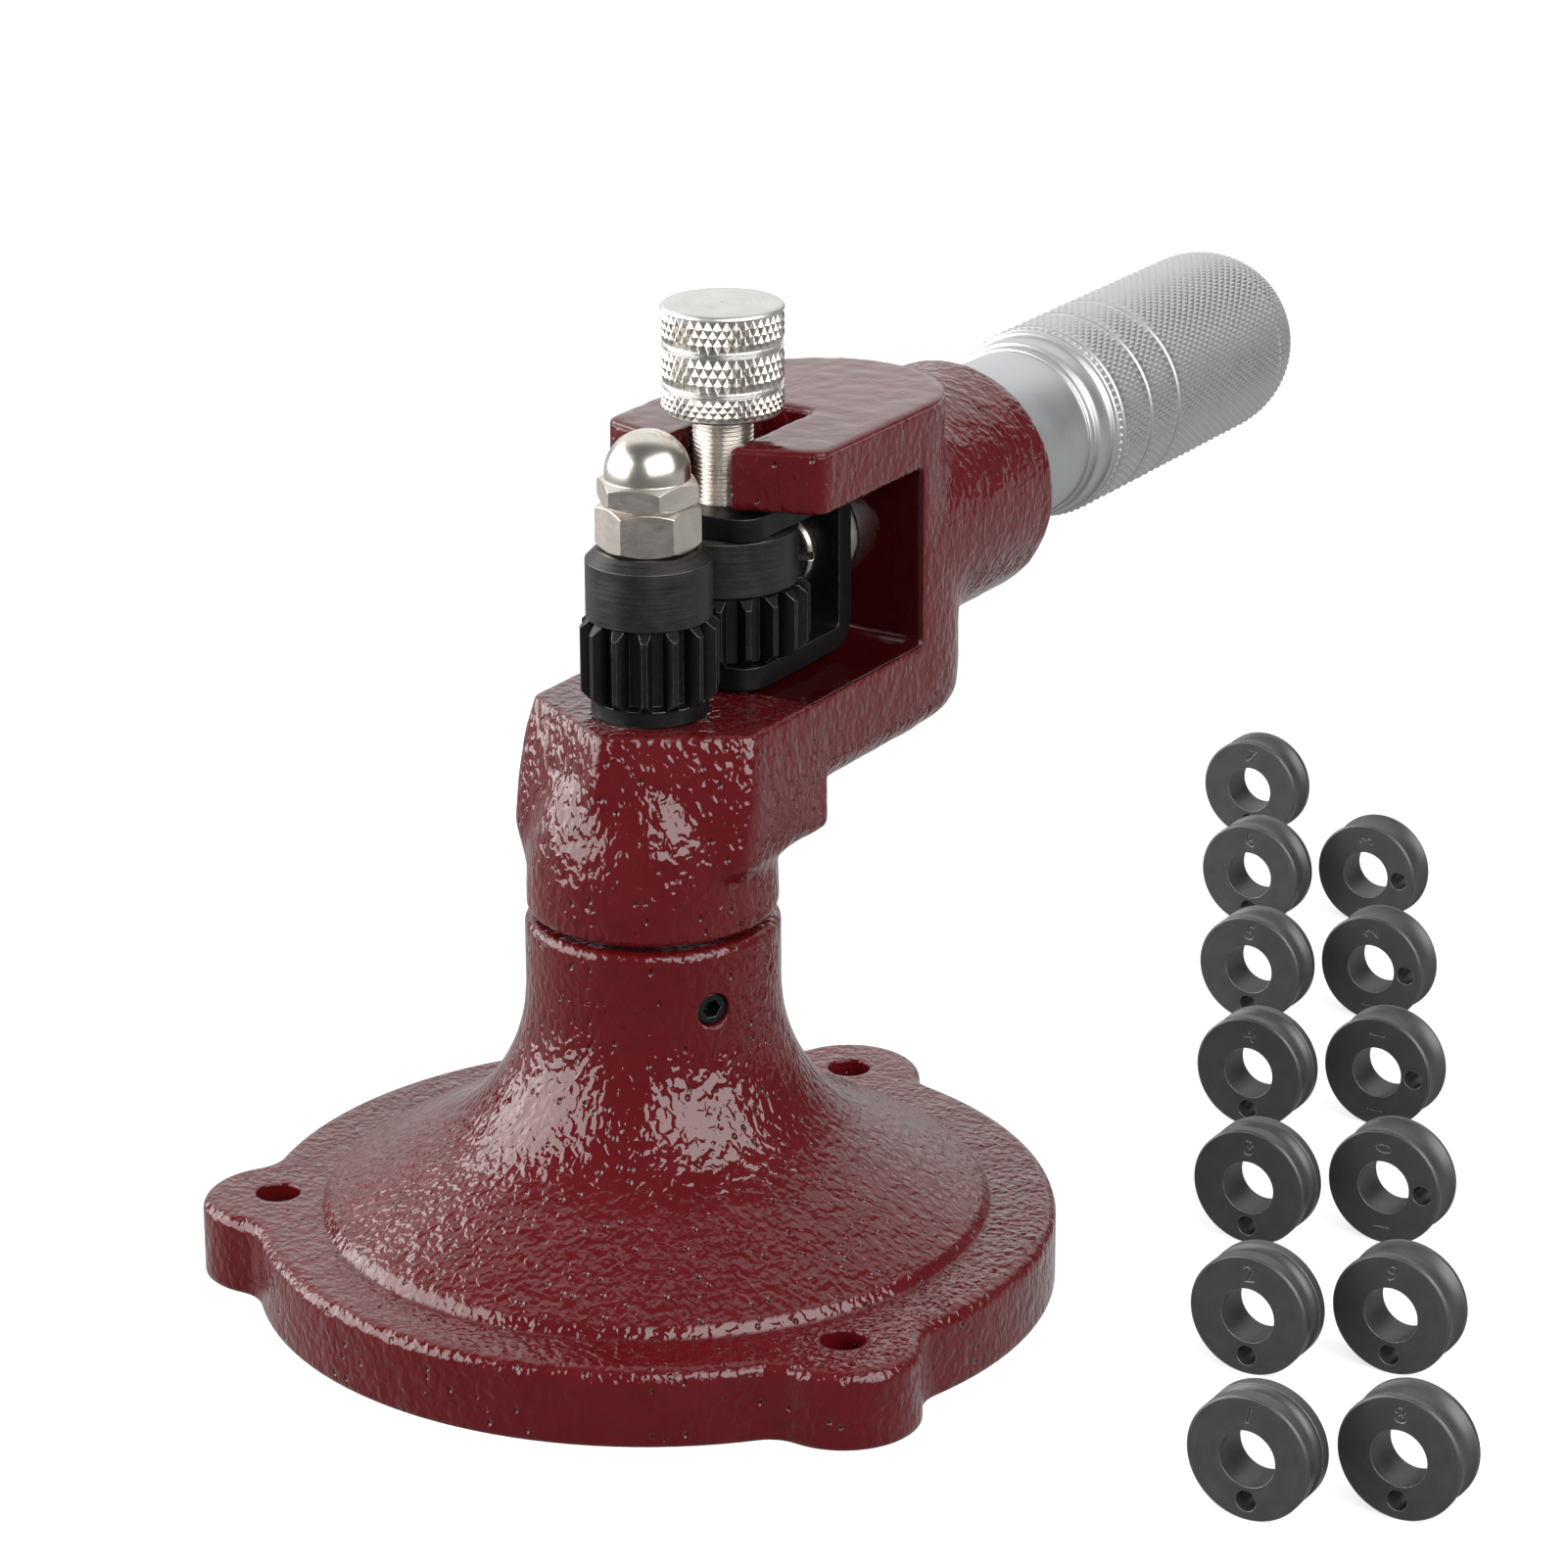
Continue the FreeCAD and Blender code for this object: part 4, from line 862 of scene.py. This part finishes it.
def makeHandle():
    grip = handle["gripRadius"]
    root = grip - handle["knurlDepth"]
    start = handle["neckStart"]
    floorRadius = grip - handle["grooveDepth"]
    shank = handle["shankRadius"]
    clear = handle["screwClearance"]
    shoulder = start + handle["counterbore"]
    profile = [(0, handle["boreEnd"]), (shank, handle["boreEnd"]), (shank, shoulder), (clear, shoulder)]
    profile.append((clear, start))
    profile += [(handle["neckRadius"] - inward, start + along) for inward, along in handle["neckEdge"]]
    profile += handle["beads"]
    bands = []
    at = handle["gripStart"]
    half = handle["grooveWidth"] / 2
    for middle in handle["grooves"]:
        addKnurl(profile, bands, handle, root, at, middle - half)
        profile += [(floorRadius, middle + side * handle["grooveFloor"]) for side in (-1, 1)]
        at = middle + half
    domeStart = handle["end"] - grip
    addKnurl(profile, bands, handle, root, at, domeStart)

    def onDome(turn):
        return root * math.cos(turn), domeStart + root * math.sin(turn)

    before = 0
    for degrees, share in handle["domeBands"]:
        turns = rows(math.radians(before), math.radians(degrees),
                     round(root * math.radians(degrees - before) / handle["rowPitch"]))
        profile += [onDome(turn) for turn in turns[1:]]
        least, high = onDome(turns[-1])
        bands.append((onDome(turns[0])[1] - knurling["inset"], high - knurling["inset"],
                      least - knurling["below"], handle["knurlDepth"] * share))
        before = degrees
    cap = rows(math.radians(before), math.pi / 2, handle["capRows"])
    profile += [onDome(turn) for turn in cap[1:-1]]
    profile.append((0, domeStart + root))
    piece = turnProfile("handle_knurled", profile, yAxisScrew, handle["columns"])
    cutKnurl(piece, yAxisScrew, bands)
    finishPiece(piece, makeMetal("handleAluminium", "satinAluminium", **screwAxis),
                "screw", "handle")
    print("handle:", len(piece.data.polygons), "faces")


knob = {
    "columns": 40,
    "bottom": 125.3,
    "top": 141.2,
    "radius": 8.9,
    "bottomEdge": ((0.7, 0.0), (0.2, 0.12)),    # how far in and up its broken edge runs
    "knurlBottom": 125.7,
    "knurlTop": 140.35,
    "knurlDepth": 0.45,
    "rowPitch": 2.05,
    "grooves": (129.43, 135.32),
    "grooveWidth": 0.9,
    "grooveDepth": 0.5,
    "grooveFloor": 0.12,        # half width
    "lipDepth": 0.16,
    "lip": (0.08, 0.16),        # mm from the groove's edge where its lip starts and ends
    "capStep": (0.03, 0.1),     # how far in and up the plain cap starts
    "edgeRadius": 0.75,
    "edgeStart": 8,             # degrees round the cap's edge
    "edgeRows": 8,
    "boreRadius": 3.9,
    "boreTop": 136.9,
    "dimpleRadius": 0.35,
    "dimpleDepth": 0.35,
}


def makeKnob():
    radius = knob["radius"]
    root = radius - knob["knurlDepth"]
    bottom = knob["bottom"]
    bore = knob["boreRadius"]
    profile = [(0, knob["boreTop"]), (bore, knob["boreTop"]), (bore, bottom)]
    profile += [(root - inward, bottom + up) for inward, up in knob["bottomEdge"]]
    lip = radius - knob["lipDepth"]
    near, far = knob["lip"]
    floorRadius = radius - knob["grooveDepth"]
    bands = []
    at = knob["knurlBottom"]
    half = knob["grooveWidth"] / 2
    for middle in knob["grooves"]:
        low = middle - half
        high = middle + half
        addKnurl(profile, bands, knob, root, at, low)
        profile += [(lip, low + near), (lip, low + far)]
        profile += [(floorRadius, middle + side * knob["grooveFloor"]) for side in (-1, 1)]
        profile += [(lip, high - far), (lip, high - near)]
        at = high
    addKnurl(profile, bands, knob, root, at, knob["knurlTop"])
    inward, up = knob["capStep"]
    profile.append((radius - inward, knob["knurlTop"] + up))
    edge = knob["edgeRadius"]
    for turn in rows(math.radians(knob["edgeStart"]), math.pi / 2, knob["edgeRows"]):
        profile.append((radius - edge + edge * math.cos(turn), knob["top"] - edge + edge * math.sin(turn)))
    profile += [(knob["dimpleRadius"], knob["top"]), (0, knob["top"] - knob["dimpleDepth"])]
    piece = turnProfile("axle_knob_knurled", profile, zAxisRear, knob["columns"])
    cutKnurl(piece, zAxisRear, bands)
    finishPiece(piece, makeMetal("knobNickel", "knurledNickel", **rearAxis),
                "knob", "axle_knob")
    print("knob:", len(piece.data.polygons), "faces")


stem = {
    "columns": 48,
    "tip": 87.35,
    "pilotRadius": 3.0,
    "shoulder": 90.85,
    "journalRadius": 4.0,
    "step": 109.15,
    "threadRadius": 4.4,
    "threadDepth": 0.32,
    "threadPitch": 0.62,
    "threadCrest": (0.4, 0.6),      # share of the pitch where the crest starts and ends
    "spigotRadius": 3.9,
    "chamfer": 0.5,
}


def makeStem():
    pilot = stem["pilotRadius"]
    journal = stem["journalRadius"]
    crest = stem["threadRadius"]
    root = crest - stem["threadDepth"]
    pitch = stem["threadPitch"]
    rise, fall = stem["threadCrest"]
    profile = [(0, stem["tip"]), (pilot - stem["chamfer"], stem["tip"])]
    profile += [(pilot, stem["tip"] + stem["chamfer"]), (pilot, stem["shoulder"])]
    profile += [(journal, stem["shoulder"]), (journal, stem["step"])]
    at = stem["step"]
    while at + pitch <= knob["bottom"]:
        profile += [(root, at), (crest, at + pitch * rise), (crest, at + pitch * fall)]
        at += pitch
    profile += [(root, at), (stem["spigotRadius"], knob["bottom"])]
    profile += [(stem["spigotRadius"], knob["boreTop"]), (0, knob["boreTop"])]
    piece = turnProfile("axle_pin_threaded", profile, zAxisRear, stem["columns"])
    finishPiece(piece, makeMetal("stemNickel", "brightNickel", **rearAxis),
                "axle", "axle_pin")
    print("threaded stem:", len(piece.data.polygons), "faces")


makeHandle()
makeKnob()
makeStem()


# numbered dies

dies = {
    "count": 13,
    "digitHeight": 2.6,         # mm
    "fontSize": 1.4,            # of the digits' height
    "fontCurves": 3,
    "digitDepth": 0.16,
    "digitRadius": 6.3,
    # degrees that a single digit leans, and that a pair of digits is turned
    "turns": {1: -12, 2: 8, 3: -6, 4: 10, 5: -8, 6: 24, 7: -18, 8: 5, 9: -9},
    "pairTurn": 90,
}


# stamps one character into the die's front face
def cutDigit(die, character, place, degrees):
    deselectAll()
    bpy.ops.object.text_add(location=(0, 0, 0))
    digit = bpy.context.object
    digit.data.body = character
    digit.data.align_x = "CENTER"
    digit.data.align_y = "CENTER"
    digit.data.size = dies["digitHeight"] * dies["fontSize"] * mm
    digit.data.extrude = dies["digitDepth"] * mm
    digit.data.resolution_u = dies["fontCurves"]
    bpy.ops.object.convert(target="MESH")
    digit = bpy.context.object
    weld(digit, pieceWeld)
    upright = Matrix.Rotation(math.pi / 2, 4, "X")
    leaning = Matrix.Rotation(math.radians(degrees), 4, "Z")
    digit.data.transform(Matrix.Translation(place) @ upright @ leaning)
    pick(die)
    cut = die.modifiers.new("stamp", "BOOLEAN")
    cut.operation = "DIFFERENCE"
    cut.solver = "EXACT"
    cut.object = digit
    bpy.ops.object.modifier_apply(modifier="stamp")
    bpy.data.objects.remove(digit)


def makeDies():
    material = makeMetal("dieSteel", "dieSteel", **dieAxis)
    up = Vector((0, 0, dies["digitRadius"] * mm))
    for number in range(1, dies["count"] + 1):
        node = "die_%02d" % number
        low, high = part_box(node)
        centre = (low + high) / 2
        front = Vector((centre.x, low.y, centre.z))
        die = copyNode(node, node + "_stamped")
        if number in dies["turns"]:
            cutDigit(die, str(number), front + up, dies["turns"][number])
        else:
            tens, units = str(number)
            cutDigit(die, tens, front - up, dies["pairTurn"])
            cutDigit(die, units, front + up, dies["pairTurn"])
        fromCentre = die.data.attributes.new("fromCentre", "FLOAT_VECTOR", "POINT")
        for spot, vert in zip(fromCentre.data, die.data.vertices):
            spot.vector = vert.co - centre
        finishPiece(die, material, "base", node)
    print("dies:", dies["count"])


makeDies()
